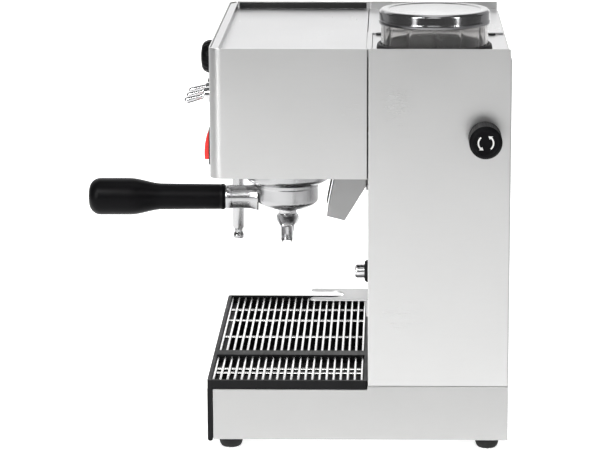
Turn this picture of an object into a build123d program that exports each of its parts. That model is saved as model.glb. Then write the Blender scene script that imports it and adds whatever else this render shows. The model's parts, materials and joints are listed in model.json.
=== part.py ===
"""Home espresso machine with a built-in conical burr grinder, as separate pieces.

Millimetres, +Z up, the front of the machine faces -Y and its right-hand side is +X.
The pieces are drawn about the middle of the body: X = 0 halfway across, Y = 0 halfway
from front to back, Z = 0 on the table. save() then moves each one so that the origin
lies under the middle of the whole envelope, handle and adjusting knob included.
"""
import os
from math import cos, hypot, radians, sin

from build123d import *

os.makedirs("parts", exist_ok=True)

# ---------------------------------------------------------------- driving sizes
width = 325.0            # body, side to side
depth = 270.0            # drip-tray front to back panel
half_width = width / 2
front_y = -depth / 2
back_y = depth / 2
foot_height = 11.0
top_z = 366.0            # upper edge of the side panels
head_z = 250.0           # underside of the head
column_y = back_y - 126.0            # front face of the column
sheet = 1.2              # steel sheet of the panels
gap = 0.3                # clearance between pieces that move apart
fit = 0.05               # radial clearance of a shaft in its bearing
head_setback = 4.0       # head front behind the drip-tray front
head_corner = 12.0       # outer radius of the head's front corners
column_bend = 3.0        # outer radius where a side panel turns in at the column
column_return = 12.5     # how far a side panel turns in at the column

# drip tray
tray_top_z = 66.0
band_height = 8.0        # the black band that shows round the tray
tray_front = 4.7         # thickness of the tray's front plate
tray_front_drop = 1.5    # the plate hangs this far below the base
tray_wall = 3.3
basin_wall = 2.5
divider_x = (half_width - 106.5, half_width - 90.1)
bar_size = 2.2
bar_pitch = 6.37
rod_size = 3.0
left_rods_x = (47.5 - half_width, 90.5 - half_width, divider_x[0] - 64.0)
right_rods_x = (half_width - 53.5, half_width - 39.5)
tray_travel = 200.0

# feet
foot_radius = 10.75
foot_x = half_width - 18.0
foot_front_y = front_y + 20.0
foot_back_y = back_y - 18.0

# top of the machine
cup_plate_z = top_z - 7.0
cup_rim_width = 7.0
cup_rim_z = top_z - 0.8
deck_z = top_z - 9.0
deck_front_y = column_y + 3.3
lid_edge_x = 5.5         # right-hand edge of the tank lid
lid_front_y = column_y - 1.4
lid_thickness = 1.4
deck_screw_radius = 1.5
deck_screw_head = 3.2

# brew group and portafilter
group_x = -45.0
group_place = 61 / 140   # share of the way from the head's front back to the column
group_radius = 40.75
group_low_z = 207.0
lip_height = 4.7
lug_height = 5.0
lug_width = 20.0
lug_angle = -45.0        # the handle's swing from locked to free
plug_radius = 24.0       # the part of the group that passes through the head's floor
screen_screw_radius = 2.5
screen_screw_head = 5.0
bolt_shank = 1.45        # the four bolts that hold the boiler halves together
bolt_head = 2.1
bowl_radius = 30.0
bowl_wall = 2.6
lip_bore = bowl_radius + 1.0
lug_reach = bowl_radius + 4.6
screen_radius = bowl_radius - 3.0
bowl_rim_z = 222.0
bowl_side_z = 192.0
bowl_low_z = 184.0
basket_wall = 0.8
gasket_height = 7.0
handle_z = 192.0
neck_radius = 11.5
grip_start = 60.0        # distances from the group axis along the handle
grip_radius = 12.5
grip_end = 129.0
bulb_start = 141.0
bulb_radius = 17.7
handle_reach = 191.0
spout_spread = 19.0
spout_width = 22.0
spout_low_z = 152.5

# steam side
wand_x = 32.5 - half_width
wand_y = front_y + 12.6
ball_z = 242.0
ball_radius = 7.0
wand_radius = 5.8
wand_neck_radius = 3.3
wand_sleeve_z = 231.0
wand_low_z = 143.0
nozzle_low_z = 133.0
nozzle_radius = 5.5
steam_x = 42.5 - half_width
steam_z = 317.0
steam_knob_radius = 16.25
steam_knob_reach = 26.0
steam_spindle_radius = 4.0
steam_valve_radius = 11.0

# switches and gauge on the front
lever_x = (half_width - 128.5, half_width - 100.5, half_width - 72.5)
lever_names = ("steam_lever", "water_lever", "brew_lever")
lever_z = 314.0
lever_droop = 15.0
lever_length = 24.5
lever_radius = 2.9
lever_ball = 4.4
collar_reach = 9.0
lever_pivot = 3.0        # pivot in front of the panel
rocker_x = half_width - 37.5
rocker_z = 274.0
rocker_height = 26.0
rocker_width = 17.0
rocker_tilt = 7.0
gauge_x = half_width - 177.5
gauge_z = 308.0
gauge_radius = 27.0
gauge_depth = 17.0

# grinder
grinder_x = half_width - 67.5
grinder_y = back_y - 67.0
hopper_radius = 48.0
hopper_wall = 2.0
hopper_lid_radius = 50.0
hopper_lid_z = (380.0, 393.0)
collar_radius = 52.0
collar_height = 5.0
throat_radius = 22.0
throat_z = 302.0
worm_y = grinder_y + 43.7
worm_z = 288.0
worm_radius = 5.0
worm_shaft_radius = 3.0
worm_mesh = 0.5          # clearance left between worm and wheel
grind_knob_radius = 14.5
grind_knob_reach = 30.0
burr_housing_radius = 40.0
burr_sleeve_radius = 33.0
motor_radius = 44.0
motor_height = 110.0
bracket_z = 238.0        # underside of the plate that carries the grinder
bracket_thickness = 2.0
shaft_radius = 5.0
chute_x = grinder_x + 15.0
chute_width = 50.0
chute_sheet = 1.0
button_z = 155.0
button_radius = 6.15
button_reach = 12.0
button_travel = 3.0
button_flange_radius = 10.5
fork_z = 133.5
fork_thickness = 1.5
fork_width = 42.8
fork_reach = 52.0
fork_slot = 24.0
fork_slot_end = column_y - 22.0

# water
tank_x = (10.5 - half_width, -28.0)
tank_y = (column_y + 8.0, back_y - 8.0)
tank_top_z = 352.0
tank_wall = 2.2
tank_corner = 8.0
tank_clearance = 1.5
shelf_z = 110.0          # upper face of the tank's shelf
frame_wall_x = -4.0      # partition between tank and grinder
boiler_radius = 33.0
boiler_joint_z = 282.0
boiler_top_z = 326.0
boiler_wall = 5.0
pump_x = (32.5 - half_width, -40.0)
pump_y = back_y - 60.0
pump_z = 42.0
rise_x = 13.0            # the water pipe that climbs from the pump to the boiler
tank_port_x = tank_x[0] + 32.0
inlet_x = half_width - 52.5
inlet_z = 90.0

# ---------------------------------------------------------------- worked-out places
base_z = foot_height
band_z = tray_top_z - band_height
column_z = band_z + 3.5
head_y = front_y + head_setback
group_y = head_y + group_place * (column_y - head_y)
inner_x = half_width - sheet
inner_back_y = back_y - sheet
panel_back_y = head_y + sheet       # rear face of the head's front panel
bowl_bore = bowl_radius - bowl_wall
gasket_z = bowl_rim_z + basket_wall + gap
carrier_radius = worm_y - grinder_y - worm_radius - worm_mesh
housing_z = bracket_z + bracket_thickness
to_frame = Location((-grind_knob_reach / 2, -(group_y - handle_reach + back_y) / 2, 0))


# ---------------------------------------------------------------- helpers
def at_z(z):
    """Level plane: local x is +X, local y is +Y."""
    return Plane.XY.offset(z)


def at_y(y):
    """Upright plane across the machine: local x is +X, local y is +Z, normal is -Y."""
    return Plane.XZ.offset(-y)


def at_x(x):
    """Upright plane along the machine: local x is +Y, local y is +Z, normal is +X."""
    return Plane.YZ.offset(x)


def axis_up(x, y, z=0.0):
    """Plane for turn(): heights run up from z."""
    return Plane(origin=(x, y, z), x_dir=(1, 0, 0), z_dir=(0, -1, 0))


def axis_front(x, y, z):
    """Plane for turn(): heights run forwards, towards -Y, from y."""
    return Plane(origin=(x, y, z), x_dir=(1, 0, 0), z_dir=(0, 0, -1))


def axis_right(x, y, z):
    """Plane for turn(): heights run to the right, towards +X, from x."""
    return Plane(origin=(x, y, z), x_dir=(0, 1, 0), z_dir=(0, 0, -1))


def block(x, y, z, mode=Mode.ADD):
    """A box from its three (low, high) spans."""
    centre = tuple((low + high) / 2 for low, high in (x, y, z))
    with Locations(centre):
        Box(x[1] - x[0], y[1] - y[0], z[1] - z[0], mode=mode)


def turn(points, plane, mode=Mode.ADD):
    """Revolve a closed outline of (radius, height) points about the plane's y axis."""
    with BuildSketch(plane) as outline:
        with BuildLine():
            Polyline(*points, close=True)
        make_face()
    revolve(outline.sketch, axis=Axis(plane.origin, plane.y_dir), mode=mode)


def disc(radius, low, high, plane, mode=Mode.ADD):
    """A round bar about the plane's y axis, between two heights."""
    turn([(0, low), (radius, low), (radius, high), (0, high)], plane, mode)


def ring(outer, inner, low, high, plane):
    """A plain ring about the plane's y axis, between two heights."""
    turn([(inner, low), (outer, low), (outer, high), (inner, high)], plane)


def bay(half_x, low_y, high_y, corner):
    """A rectangle in plan whose two front corners are rounded."""
    with BuildSketch() as plan:
        with Locations((0, (low_y + high_y) / 2)):
            Rectangle(2 * half_x, high_y - low_y)
        fillet(plan.vertices().group_by(Axis.Y)[0], corner)
    return plan.sketch


def pipe(points, radius, bend):
    """A round pipe along straight runs joined by arcs."""
    with BuildLine() as route:
        FilletPolyline(*points, radius=bend)
    with BuildSketch(Plane(origin=route.line @ 0, z_dir=route.line % 0)) as section:
        Circle(radius)
    sweep(section.sketch, path=route.line)


def save(piece, name):
    """Move a finished piece into the part's frame, label it and write it."""
    placed = piece.part.moved(to_frame)
    placed.label = name
    export_step(placed, f"parts/{name}.step")


# ---------------------------------------------------------------- base and tray
with BuildPart() as base_housing:
    block((-half_width, half_width), (head_y + 1, back_y), (base_z, base_z + sheet))
    for side in (-1, 1):
        wall = sorted((side * half_width, side * inner_x))
        block(wall, (head_y + 1, column_y - gap), (base_z, band_z - gap))
        block(wall, (column_y - gap, back_y), (base_z, column_z - gap))
    block((-half_width, half_width), (inner_back_y, back_y), (base_z, column_z - gap))
save(base_housing, "base_housing")

with BuildPart() as feet:
    for x in (-foot_x, foot_x):
        for y in (foot_front_y, foot_back_y):
            with BuildSketch(axis_up(x, y)) as outline:
                with BuildLine():
                    Polyline((0, 0), (foot_radius - 4, 0))
                    RadiusArc((foot_radius - 4, 0), (foot_radius, foot_height - 3), -9)
                    Polyline((foot_radius, foot_height - 3), (foot_radius, foot_height),
                             (0, foot_height), (0, 0))
                make_face()
            revolve(axis=Axis((x, y, 0), (0, 0, 1)))
save(feet, "feet")

tray_back_y = column_y - gap
tray_inner_x = half_width - tray_wall
tray_inner_y = (front_y + tray_wall, tray_back_y - tray_wall)
basin_x = tray_inner_x - 4.7
basin_y = (tray_inner_y[0] + 5.5, tray_inner_y[1] - 1.5)
side_ledge_z = tray_top_z - 3.5
end_ledge_z = side_ledge_z - rod_size
basin_z = base_z + sheet + gap

with BuildPart() as drip_tray:
    block((-half_width, half_width), (front_y, tray_back_y), (band_z, tray_top_z))
    fillet(drip_tray.edges().filter_by(Axis.Z), 2.5)
    block((-tray_inner_x, tray_inner_x), tray_inner_y, (band_z, tray_top_z), Mode.SUBTRACT)
    plate_z = (base_z - tray_front_drop, band_z)
    block((-half_width, half_width), (front_y, front_y + tray_front), plate_z)
    fillet(drip_tray.edges().filter_by(Axis.X).group_by(Axis.Z)[0], 2.0)
    outer = (basin_x + basin_wall, basin_y[0] - basin_wall, basin_y[1] + basin_wall)
    block((-outer[0], outer[0]), outer[1:], (basin_z, end_ledge_z))
    for side in (-1, 1):
        ledge = sorted((side * basin_x, side * (tray_inner_x + 0.5)))
        block(ledge, (tray_inner_y[0] - 0.5, tray_inner_y[1] + 0.5), (end_ledge_z - 2, side_ledge_z))
    for low, high in ((tray_inner_y[0] - 0.5, basin_y[0]), (basin_y[1], tray_inner_y[1] + 0.5)):
        block((-tray_inner_x, tray_inner_x), (low, high), (end_ledge_z - 2, end_ledge_z))
    block((-basin_x, basin_x), basin_y, (basin_z + basin_wall, tray_top_z + 1), Mode.SUBTRACT)
    block((divider_x[0] - 4, divider_x[1] + 4), (tray_inner_y[0] - 0.5, tray_inner_y[1] + 0.5),
          (side_ledge_z - 3, side_ledge_z))
    block(divider_x, (tray_inner_y[0] - 0.5, tray_inner_y[1] + 0.5), (side_ledge_z, tray_top_z))
save(drip_tray, "drip_tray")

bar_z = side_ledge_z + gap
bar_count = 1 + int((tray_inner_y[1] - tray_inner_y[0] - bar_size) / bar_pitch)
bars_mid_y = (tray_inner_y[0] + tray_inner_y[1]) / 2
rod_y = (tray_inner_y[0] + 0.6, tray_inner_y[1] - 0.6)
grids = (("left_grid", (-tray_inner_x + gap, divider_x[0] - gap), left_rods_x),
         ("right_grid", (divider_x[1] + gap, tray_inner_x - gap), right_rods_x))
for grid_name, (low_x, high_x), rods_x in grids:
    with BuildPart() as grid:
        with Locations(((low_x + high_x) / 2, bars_mid_y, bar_z + bar_size / 2)):
            with GridLocations(1, bar_pitch, 1, bar_count):
                Box(high_x - low_x, bar_size, bar_size)
        for x in rods_x:
            block((x - rod_size / 2, x + rod_size / 2), rod_y,
                  (bar_z + 0.4 - rod_size, bar_z + 0.4))
    save(grid, grid_name)

# ---------------------------------------------------------------- column
with BuildPart() as right_side_panel:
    block((inner_x, half_width), (column_y, inner_back_y), (column_z, top_z))
    block((half_width - column_return, half_width), (column_y, column_y + sheet),
          (column_z, head_z - gap))
    corner_edge = right_side_panel.edges().filter_by(Axis.Z).group_by(Axis.Y)[0].sort_by(Axis.X)[-1]
    fillet(corner_edge, column_bend * 0.38)
    disc(worm_shaft_radius + 2, inner_x - 1, half_width + 1,
         axis_right(0, worm_y, worm_z), Mode.SUBTRACT)
save(right_side_panel, "right_side_panel")

with BuildPart() as left_side_panel:
    block((-half_width, -inner_x), (column_y, inner_back_y), (column_z, top_z))
    block((-half_width, column_return - half_width), (column_y, column_y + sheet),
          (column_z, head_z - gap))
    corner_edge = left_side_panel.edges().filter_by(Axis.Z).group_by(Axis.Y)[0].sort_by(Axis.X)[0]
    fillet(corner_edge, column_bend * 0.38)
save(left_side_panel, "left_side_panel")

duct_half = 13.0
duct_z = (head_z - 7, head_z + 7)
with BuildPart() as column_front:
    front_x = half_width - column_return
    block((-front_x, front_x), (column_y, column_y + sheet), (base_z + sheet, head_z))
    block((-inner_x, inner_x), (column_y, column_y + sheet), (base_z + sheet, column_z - gap))
    block((chute_x - duct_half - 1, chute_x + duct_half + 1), (column_y - 1, column_y + 3),
          (duct_z[0] - 1, head_z + 1), Mode.SUBTRACT)
    disc(button_radius + 2, column_y - 3, column_y + 3,
         Plane(origin=(chute_x, 0, button_z), x_dir=(1, 0, 0), z_dir=(0, 0, 1)), Mode.SUBTRACT)
save(column_front, "column_front")

vent_rows = 7
vent_size = (46.0, 3.0)
with BuildPart() as back_panel:
    block((-half_width, half_width), (inner_back_y, back_y), (column_z, deck_z))
    with BuildSketch(at_y(back_y)):
        with Locations((-half_width / 2, 150), (half_width / 2, 150), (half_width / 2, 300)):
            with GridLocations(1, 9.0, 1, vent_rows):
                SlotOverall(*vent_size)
        with Locations((inlet_x, inlet_z)):
            Rectangle(27.2, 19.2)
    extrude(amount=3 * sheet, mode=Mode.SUBTRACT)
save(back_panel, "back_panel")

with BuildPart() as inner_frame:
    frame_y = (column_y + sheet, inner_back_y)
    block((frame_wall_x, frame_wall_x + sheet), frame_y, (column_z, deck_z - sheet))
    block((-inner_x, frame_wall_x + sheet), frame_y, (shelf_z - sheet, shelf_z))
    block((frame_wall_x, inner_x), frame_y, (bracket_z, housing_z))
    disc(6.0, shelf_z - 3, shelf_z + 1, axis_up(tank_port_x, pump_y), Mode.SUBTRACT)
    disc(shaft_radius + 2, bracket_z - 1, housing_z + 1,
         axis_up(grinder_x, grinder_y), Mode.SUBTRACT)
    block((rise_x - 7, rise_x + 7), (column_y + 8, pump_y + 8), (bracket_z - 1, housing_z + 1),
          Mode.SUBTRACT)
save(inner_frame, "inner_frame")

# ---------------------------------------------------------------- head
head_back_y = column_y - gap
with BuildPart() as head_shell:
    with BuildSketch(at_z(head_z)):
        add(bay(half_width, head_y, head_back_y, head_corner))
        add(bay(inner_x, panel_back_y, head_back_y + 5, head_corner - sheet), mode=Mode.SUBTRACT)
    extrude(amount=top_z - head_z)
    with BuildSketch(at_y(head_y)):
        with Locations((gauge_x, gauge_z)):
            Circle(gauge_radius - 3)
        with Locations((steam_x, steam_z)):
            Circle(steam_spindle_radius + 1.5)
        with Locations(*[(x, lever_z) for x in lever_x]):
            Circle(6.0)
        with Locations((rocker_x, rocker_z)):
            Rectangle(rocker_width + 2.6, rocker_height + 2.6)
    extrude(amount=-3 * sheet, mode=Mode.SUBTRACT)
save(head_shell, "head_shell")

with BuildPart() as head_floor:
    with BuildSketch(at_z(head_z)):
        add(bay(inner_x, panel_back_y, column_y + sheet, head_corner - sheet + 0.4))
        with Locations((group_x, group_y)):
            Circle(plug_radius + 0.5, mode=Mode.SUBTRACT)
        with Locations((wand_x, wand_y)):
            Circle(4.0, mode=Mode.SUBTRACT)
        with Locations((chute_x, column_y - 4.0)):
            Rectangle(chute_width - 4, 24, mode=Mode.SUBTRACT)
    extrude(amount=sheet)
save(head_floor, "head_floor")

plate_y = (panel_back_y + gap, lid_front_y - 0.6)
plate_corner = head_corner - sheet + 0.6
rim_back_y = plate_y[0] + cup_rim_width
with BuildPart() as cup_tray:
    with BuildSketch(at_z(cup_plate_z - sheet)):
        add(bay(inner_x, *plate_y, plate_corner))
    extrude(amount=sheet)
    with BuildSketch(at_z(cup_plate_z)):
        add(bay(inner_x, *plate_y, plate_corner))
        with Locations((0, rim_back_y + depth / 2)):
            Rectangle(width, depth, mode=Mode.SUBTRACT)
    extrude(amount=cup_rim_z - cup_plate_z)
    block((plate_corner - inner_x, inner_x - plate_corner), (plate_y[0] + sheet, rim_back_y - sheet),
          (cup_plate_z - 2 * sheet, cup_rim_z - sheet), Mode.SUBTRACT)
    block((lid_edge_x, inner_x), (plate_y[1] + fit, deck_front_y - 0.4),
          (cup_plate_z - sheet, cup_plate_z))
save(cup_tray, "cup_tray")

deck_screws = [(x, y) for x in (lid_edge_x + 4.5, inner_x - 9)
               for y in (deck_front_y + 6, inner_back_y - 11)]
with BuildPart() as top_deck:
    block((-inner_x, inner_x), (deck_front_y, inner_back_y), (deck_z - sheet, deck_z))
    disc(collar_radius - 2, deck_z - 3, deck_z + 1, axis_up(grinder_x, grinder_y), Mode.SUBTRACT)
    block((tank_x[0] - tank_clearance, tank_x[1] + tank_clearance),
          (tank_y[0] - tank_clearance, tank_y[1] + tank_clearance),
          (deck_z - 3, deck_z + 1), Mode.SUBTRACT)
    for x, y in deck_screws:
        disc(deck_screw_radius + 0.1, deck_z - 3, deck_z + 1, axis_up(x, y), Mode.SUBTRACT)
save(top_deck, "top_deck")

# ---------------------------------------------------------------- brew group
group_axis = axis_up(group_x, group_y)
seat_radius = hypot(lug_reach, lug_width / 2) + gap
with BuildPart() as group_head:
    turn([(lip_bore, group_low_z), (group_radius - 1.5, group_low_z),
          (group_radius, group_low_z + 1.5), (group_radius, head_z), (0, head_z),
          (0, gasket_z + gasket_height), (seat_radius, gasket_z + gasket_height),
          (seat_radius, group_low_z + lip_height), (lip_bore, group_low_z + lip_height)],
         group_axis)
    disc(plug_radius, head_z - 1, head_z + sheet, group_axis)
    for angle in (lug_angle, lug_angle + 180):
        with BuildSketch(Plane(origin=(group_x, group_y, group_low_z - 1),
                               x_dir=(cos(radians(angle)), sin(radians(angle)), 0))):
            with Locations((seat_radius / 2 + 8, 0)):
                Rectangle(seat_radius - 16, lug_width + 3)
        extrude(amount=lip_height + 2, mode=Mode.SUBTRACT)
    disc(screen_screw_radius + 0.1, gasket_z, head_z - 8, group_axis, Mode.SUBTRACT)
save(group_head, "group_head")

with BuildPart() as group_gasket:
    ring(seat_radius, screen_radius + 0.2, gasket_z, gasket_z + gasket_height, group_axis)
save(group_gasket, "group_gasket")

screen_z = gasket_z + gasket_height
with BuildPart() as shower_screen:
    turn([(2.7, screen_z - 5), (screen_radius, screen_z - 5), (screen_radius, screen_z),
          (screen_radius - 1.2, screen_z), (screen_radius - 1.2, screen_z - 4),
          (2.7, screen_z - 4)], group_axis)
    with BuildSketch(at_z(screen_z)):
        with Locations((group_x, group_y)):
            for radius in (8.0, 14.0, 20.0):
                with PolarLocations(radius, int(radius * 1.5)):
                    Circle(0.8)
    extrude(amount=-8, mode=Mode.SUBTRACT)
save(shower_screen, "shower_screen")

# ---------------------------------------------------------------- portafilter
with BuildPart() as portafilter_body:
    turn([(0, bowl_low_z), (9, bowl_low_z), (22, bowl_low_z + 2.5), (bowl_radius - 1.5, bowl_side_z - 1),
          (bowl_radius, bowl_side_z + 2), (bowl_radius, bowl_rim_z), (0, bowl_rim_z)], group_axis)
    lug_z = group_low_z + lip_height + gap
    block((group_x - lug_reach, group_x + lug_reach),
          (group_y - lug_width / 2, group_y + lug_width / 2), (lug_z, lug_z + lug_height))
    disc(neck_radius, bowl_radius - 8, grip_start, axis_front(group_x, group_y, handle_z))
    disc(bowl_bore, bowl_side_z - 2, bowl_rim_z + 1, group_axis, Mode.SUBTRACT)
    disc(4.0, bowl_low_z - 1, bowl_rim_z, group_axis, Mode.SUBTRACT)
save(portafilter_body, "portafilter_body")

basket_radius = bowl_bore - 0.5
with BuildPart() as filter_basket:
    base = bowl_side_z + 4
    turn([(0, base), (basket_radius - 4, base), (basket_radius, base + 8), (basket_radius, bowl_rim_z),
          (bowl_radius, bowl_rim_z), (bowl_radius, bowl_rim_z + basket_wall),
          (basket_radius - basket_wall, bowl_rim_z + basket_wall),
          (basket_radius - basket_wall, base + 8), (basket_radius - 4 - basket_wall, base + basket_wall),
          (0, base + basket_wall)], group_axis)
save(filter_basket, "filter_basket")

grip_axis = axis_front(group_x, group_y, handle_z)
with BuildPart() as portafilter_handle:
    with BuildSketch(grip_axis):
        with BuildLine():
            Polyline((0, grip_start), (grip_radius - 1, grip_start), (grip_radius, grip_start + 2),
                     (grip_radius, grip_end))
            Spline((grip_radius, grip_end), (grip_radius + 2.2, (grip_end + bulb_start) / 2),
                   (bulb_radius, bulb_start + 6), tangents=((0, 1), (0.1, 1)))
            Polyline((bulb_radius, bulb_start + 6), (bulb_radius, handle_reach - 9))
            RadiusArc((bulb_radius, handle_reach - 9), (bulb_radius - 9, handle_reach), -9)
            Polyline((bulb_radius - 9, handle_reach), (0, handle_reach), (0, grip_start))
        make_face()
    revolve(axis=Axis(grip_axis.origin, grip_axis.y_dir))
save(portafilter_handle, "portafilter_handle")

spout_wall = 2.5
with BuildPart() as portafilter_spout:
    channel = 6.0        # half the width of one outlet
    arm_z = bowl_low_z - 9
    with BuildSketch(at_y(group_y - spout_width / 2)) as arch:
        with BuildLine():
            outer_x = spout_spread + channel
            Polyline((group_x - outer_x, spout_low_z), (group_x - outer_x, arm_z - 10))
            RadiusArc((group_x - outer_x, arm_z - 10), (group_x - outer_x + 10, arm_z), 10)
            Polyline((group_x - outer_x + 10, arm_z), (group_x + outer_x - 10, arm_z))
            RadiusArc((group_x + outer_x - 10, arm_z), (group_x + outer_x, arm_z - 10), 10)
            inner = spout_spread - channel
            Polyline((group_x + outer_x, arm_z - 10), (group_x + outer_x, spout_low_z),
                     (group_x + inner, spout_low_z), (group_x + inner, arm_z - 13),
                     (group_x + inner - 4, arm_z - 9), (group_x - inner + 4, arm_z - 9),
                     (group_x - inner, arm_z - 13), (group_x - inner, spout_low_z),
                     (group_x - outer_x, spout_low_z))
        make_face()
    extrude(amount=-spout_width)
    for side in (-1, 1):
        x = group_x + side * spout_spread
        hollow = (x - channel + spout_wall, x + channel - spout_wall)
        block(hollow, (group_y - spout_width / 2 + spout_wall, group_y + spout_width / 2 - spout_wall),
              (spout_low_z - 1, arm_z - 5), Mode.SUBTRACT)
    block((group_x - spout_spread, group_x + spout_spread), (group_y - 4, group_y + 4),
          (arm_z - 6.5, arm_z - 2.5), Mode.SUBTRACT)
    disc(10.0, arm_z - 1, bowl_low_z, group_axis)
    disc(4.0, arm_z - 4, bowl_low_z + 1, group_axis, Mode.SUBTRACT)
save(portafilter_spout, "portafilter_spout")

# ---------------------------------------------------------------- steam side
wand_axis = axis_up(wand_x, wand_y)
socket_low_z = ball_z - 3
with BuildPart() as wand_socket:
    with BuildSketch(at_z(socket_low_z)):
        with Locations((wand_x, wand_y)):
            RegularPolygon(11.5, 6)
    extrude(amount=head_z - socket_low_z)
    with Locations((wand_x, wand_y, ball_z)):
        Sphere(ball_radius + gap, mode=Mode.SUBTRACT)
    disc(ball_radius - 0.9, socket_low_z - 1, ball_z, wand_axis, Mode.SUBTRACT)
    disc(3.0, ball_z, head_z + 1, wand_axis, Mode.SUBTRACT)
save(wand_socket, "wand_socket")

with BuildPart() as steam_wand:
    with Locations((wand_x, wand_y, ball_z)):
        Sphere(ball_radius)
    turn([(0, wand_low_z), (wand_radius, wand_low_z), (wand_radius, wand_sleeve_z - 2),
          (wand_neck_radius, wand_sleeve_z), (wand_neck_radius, ball_z), (0, ball_z)], wand_axis)
save(steam_wand, "steam_wand")

with BuildPart() as steam_nozzle:
    neck = wand_low_z - 3.5
    turn([(0.8, nozzle_low_z), (nozzle_radius - 1.5, nozzle_low_z), (nozzle_radius, nozzle_low_z + 2),
          (nozzle_radius, neck - 2), (4.2, neck), (4.2, wand_low_z), (0.8, wand_low_z)], wand_axis)
save(steam_nozzle, "steam_nozzle")

with BuildPart() as steam_knob:
    knob_gap = 4.0       # the skirt stands this far off the panel
    turn([(0, knob_gap), (steam_knob_radius - 3, knob_gap), (steam_knob_radius, knob_gap + 2),
          (steam_knob_radius, steam_knob_reach - 7), (steam_knob_radius - 3, steam_knob_reach - 2),
          (steam_knob_radius - 8, steam_knob_reach), (0, steam_knob_reach)],
         axis_front(steam_x, head_y, steam_z))
    disc(steam_spindle_radius, -24, knob_gap, axis_front(steam_x, head_y, steam_z))
save(steam_knob, "steam_knob")

valve_y = (panel_back_y, panel_back_y + 38)
with BuildPart() as steam_valve:
    disc(steam_valve_radius, -valve_y[1], -valve_y[0], axis_front(steam_x, 0, steam_z))
    disc(steam_spindle_radius + fit, -valve_y[0] - 23.5, -valve_y[0] + 1,
         axis_front(steam_x, 0, steam_z), Mode.SUBTRACT)
save(steam_valve, "steam_valve")

# ---------------------------------------------------------------- front controls
pivot_y = head_y - lever_pivot
for lever_name, x in zip(lever_names, lever_x):
    down = radians(lever_droop)
    lever_plane = Plane(origin=(x, pivot_y, lever_z), x_dir=(1, 0, 0),
                        z_dir=(0, sin(down), -cos(down)))
    with BuildPart() as lever:
        with Locations((x, pivot_y, lever_z)):
            Sphere(lever_ball)
        with BuildSketch(lever_plane) as outline:
            with BuildLine():
                Polyline((0, 0), (2.2, 0), (2.2, 5), (lever_radius, lever_length - lever_radius))
                RadiusArc((lever_radius, lever_length - lever_radius), (0, lever_length),
                          -lever_radius)
                Line((0, lever_length), (0, 0))
            make_face()
        revolve(axis=Axis(lever_plane.origin, lever_plane.y_dir))
    save(lever, lever_name)

with BuildPart() as lever_switches:
    for x in lever_x:
        switch_axis = axis_front(x, head_y, lever_z)
        turn([(lever_ball + gap, -1.0), (5.9, -1.0), (5.9, 0), (8.5, 0), (8.5, 2), (7.6, 3.2),
              (6.4, collar_reach), (lever_ball + gap, collar_reach)], switch_axis)
        block((x - 7.5, x + 7.5), (panel_back_y, panel_back_y + 26), (lever_z - 10, lever_z + 10))
        disc(5.9, -sheet - 0.2, -1.0, switch_axis)
        disc(lever_ball + gap, -3.5, 0, switch_axis, Mode.SUBTRACT)
save(lever_switches, "lever_switches")

rocker_pivot_y = head_y + 2.5
frame_front = 2.0
with BuildPart() as rocker_frame:
    opening = (rocker_width + 1, rocker_height + 3.4)
    frame_x = (rocker_x - opening[0] / 2 - 2.2, rocker_x + opening[0] / 2 + 2.2)
    frame_z = (rocker_z - opening[1] / 2 - 1.6, rocker_z + opening[1] / 2 + 1.6)
    block(frame_x, (head_y - frame_front, head_y), frame_z)
    fillet(rocker_frame.edges().filter_by(Axis.Y), 1.2)
    block((rocker_x - opening[0] / 2, rocker_x + opening[0] / 2),
          (head_y - frame_front - 1, head_y + 1),
          (rocker_z - opening[1] / 2, rocker_z + opening[1] / 2), Mode.SUBTRACT)
save(rocker_frame, "rocker_frame")

with BuildPart() as power_rocker:
    lean = radians(rocker_tilt)
    half = rocker_height / 2
    with BuildSketch(Plane(origin=(rocker_x - rocker_width / 2, rocker_pivot_y, rocker_z),
                           x_dir=(0, -cos(lean), sin(lean)), z_dir=(1, 0, 0))):
        with BuildLine():
            Polyline((6.8, half), (0.5, half - 1), (0.5, 1 - half), (6.8, -half))
            RadiusArc((6.8, -half), (6.8, half), -60)
        make_face()
    extrude(amount=rocker_width)
save(power_rocker, "power_rocker")

gauge_axis = axis_front(gauge_x, head_y, gauge_z)
gauge_bore = gauge_radius - 5
needle_rest = radians(40)            # below level, at the dial's left
with BuildPart() as gauge_case:
    turn([(0, -gauge_depth), (gauge_bore + 1.5, -gauge_depth), (gauge_bore + 1.5, 0),
          (gauge_radius + 1.5, 0), (gauge_radius + 1.5, 1.5), (gauge_radius - 1, 4),
          (gauge_bore, 4), (gauge_bore, -gauge_depth + 2), (0, -gauge_depth + 2)], gauge_axis)
    disc(gauge_bore - 0.5, -gauge_depth + 2, -5.0, gauge_axis)
    disc(0.9, -7.0, -4.0, gauge_axis, Mode.SUBTRACT)
save(gauge_case, "gauge_case")

with BuildPart() as gauge_needle:
    disc(0.85, -6.5, -3.0, gauge_axis)
    disc(2.6, -4.4, -2.9, gauge_axis)
    with BuildSketch(Plane(origin=(gauge_x, head_y + 4.4, gauge_z),
                           x_dir=(-cos(needle_rest), 0, -sin(needle_rest)), z_dir=(0, -1, 0))):
        with BuildLine():
            Polyline((-6, -1.1), (gauge_bore - 5, -0.35), (gauge_bore - 5, 0.35), (-6, 1.1), close=True)
        make_face()
    extrude(amount=0.8)
save(gauge_needle, "gauge_needle")

with BuildPart() as gauge_glass:
    disc(gauge_bore, 1.0, 2.5, gauge_axis)
save(gauge_glass, "gauge_glass")

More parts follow.
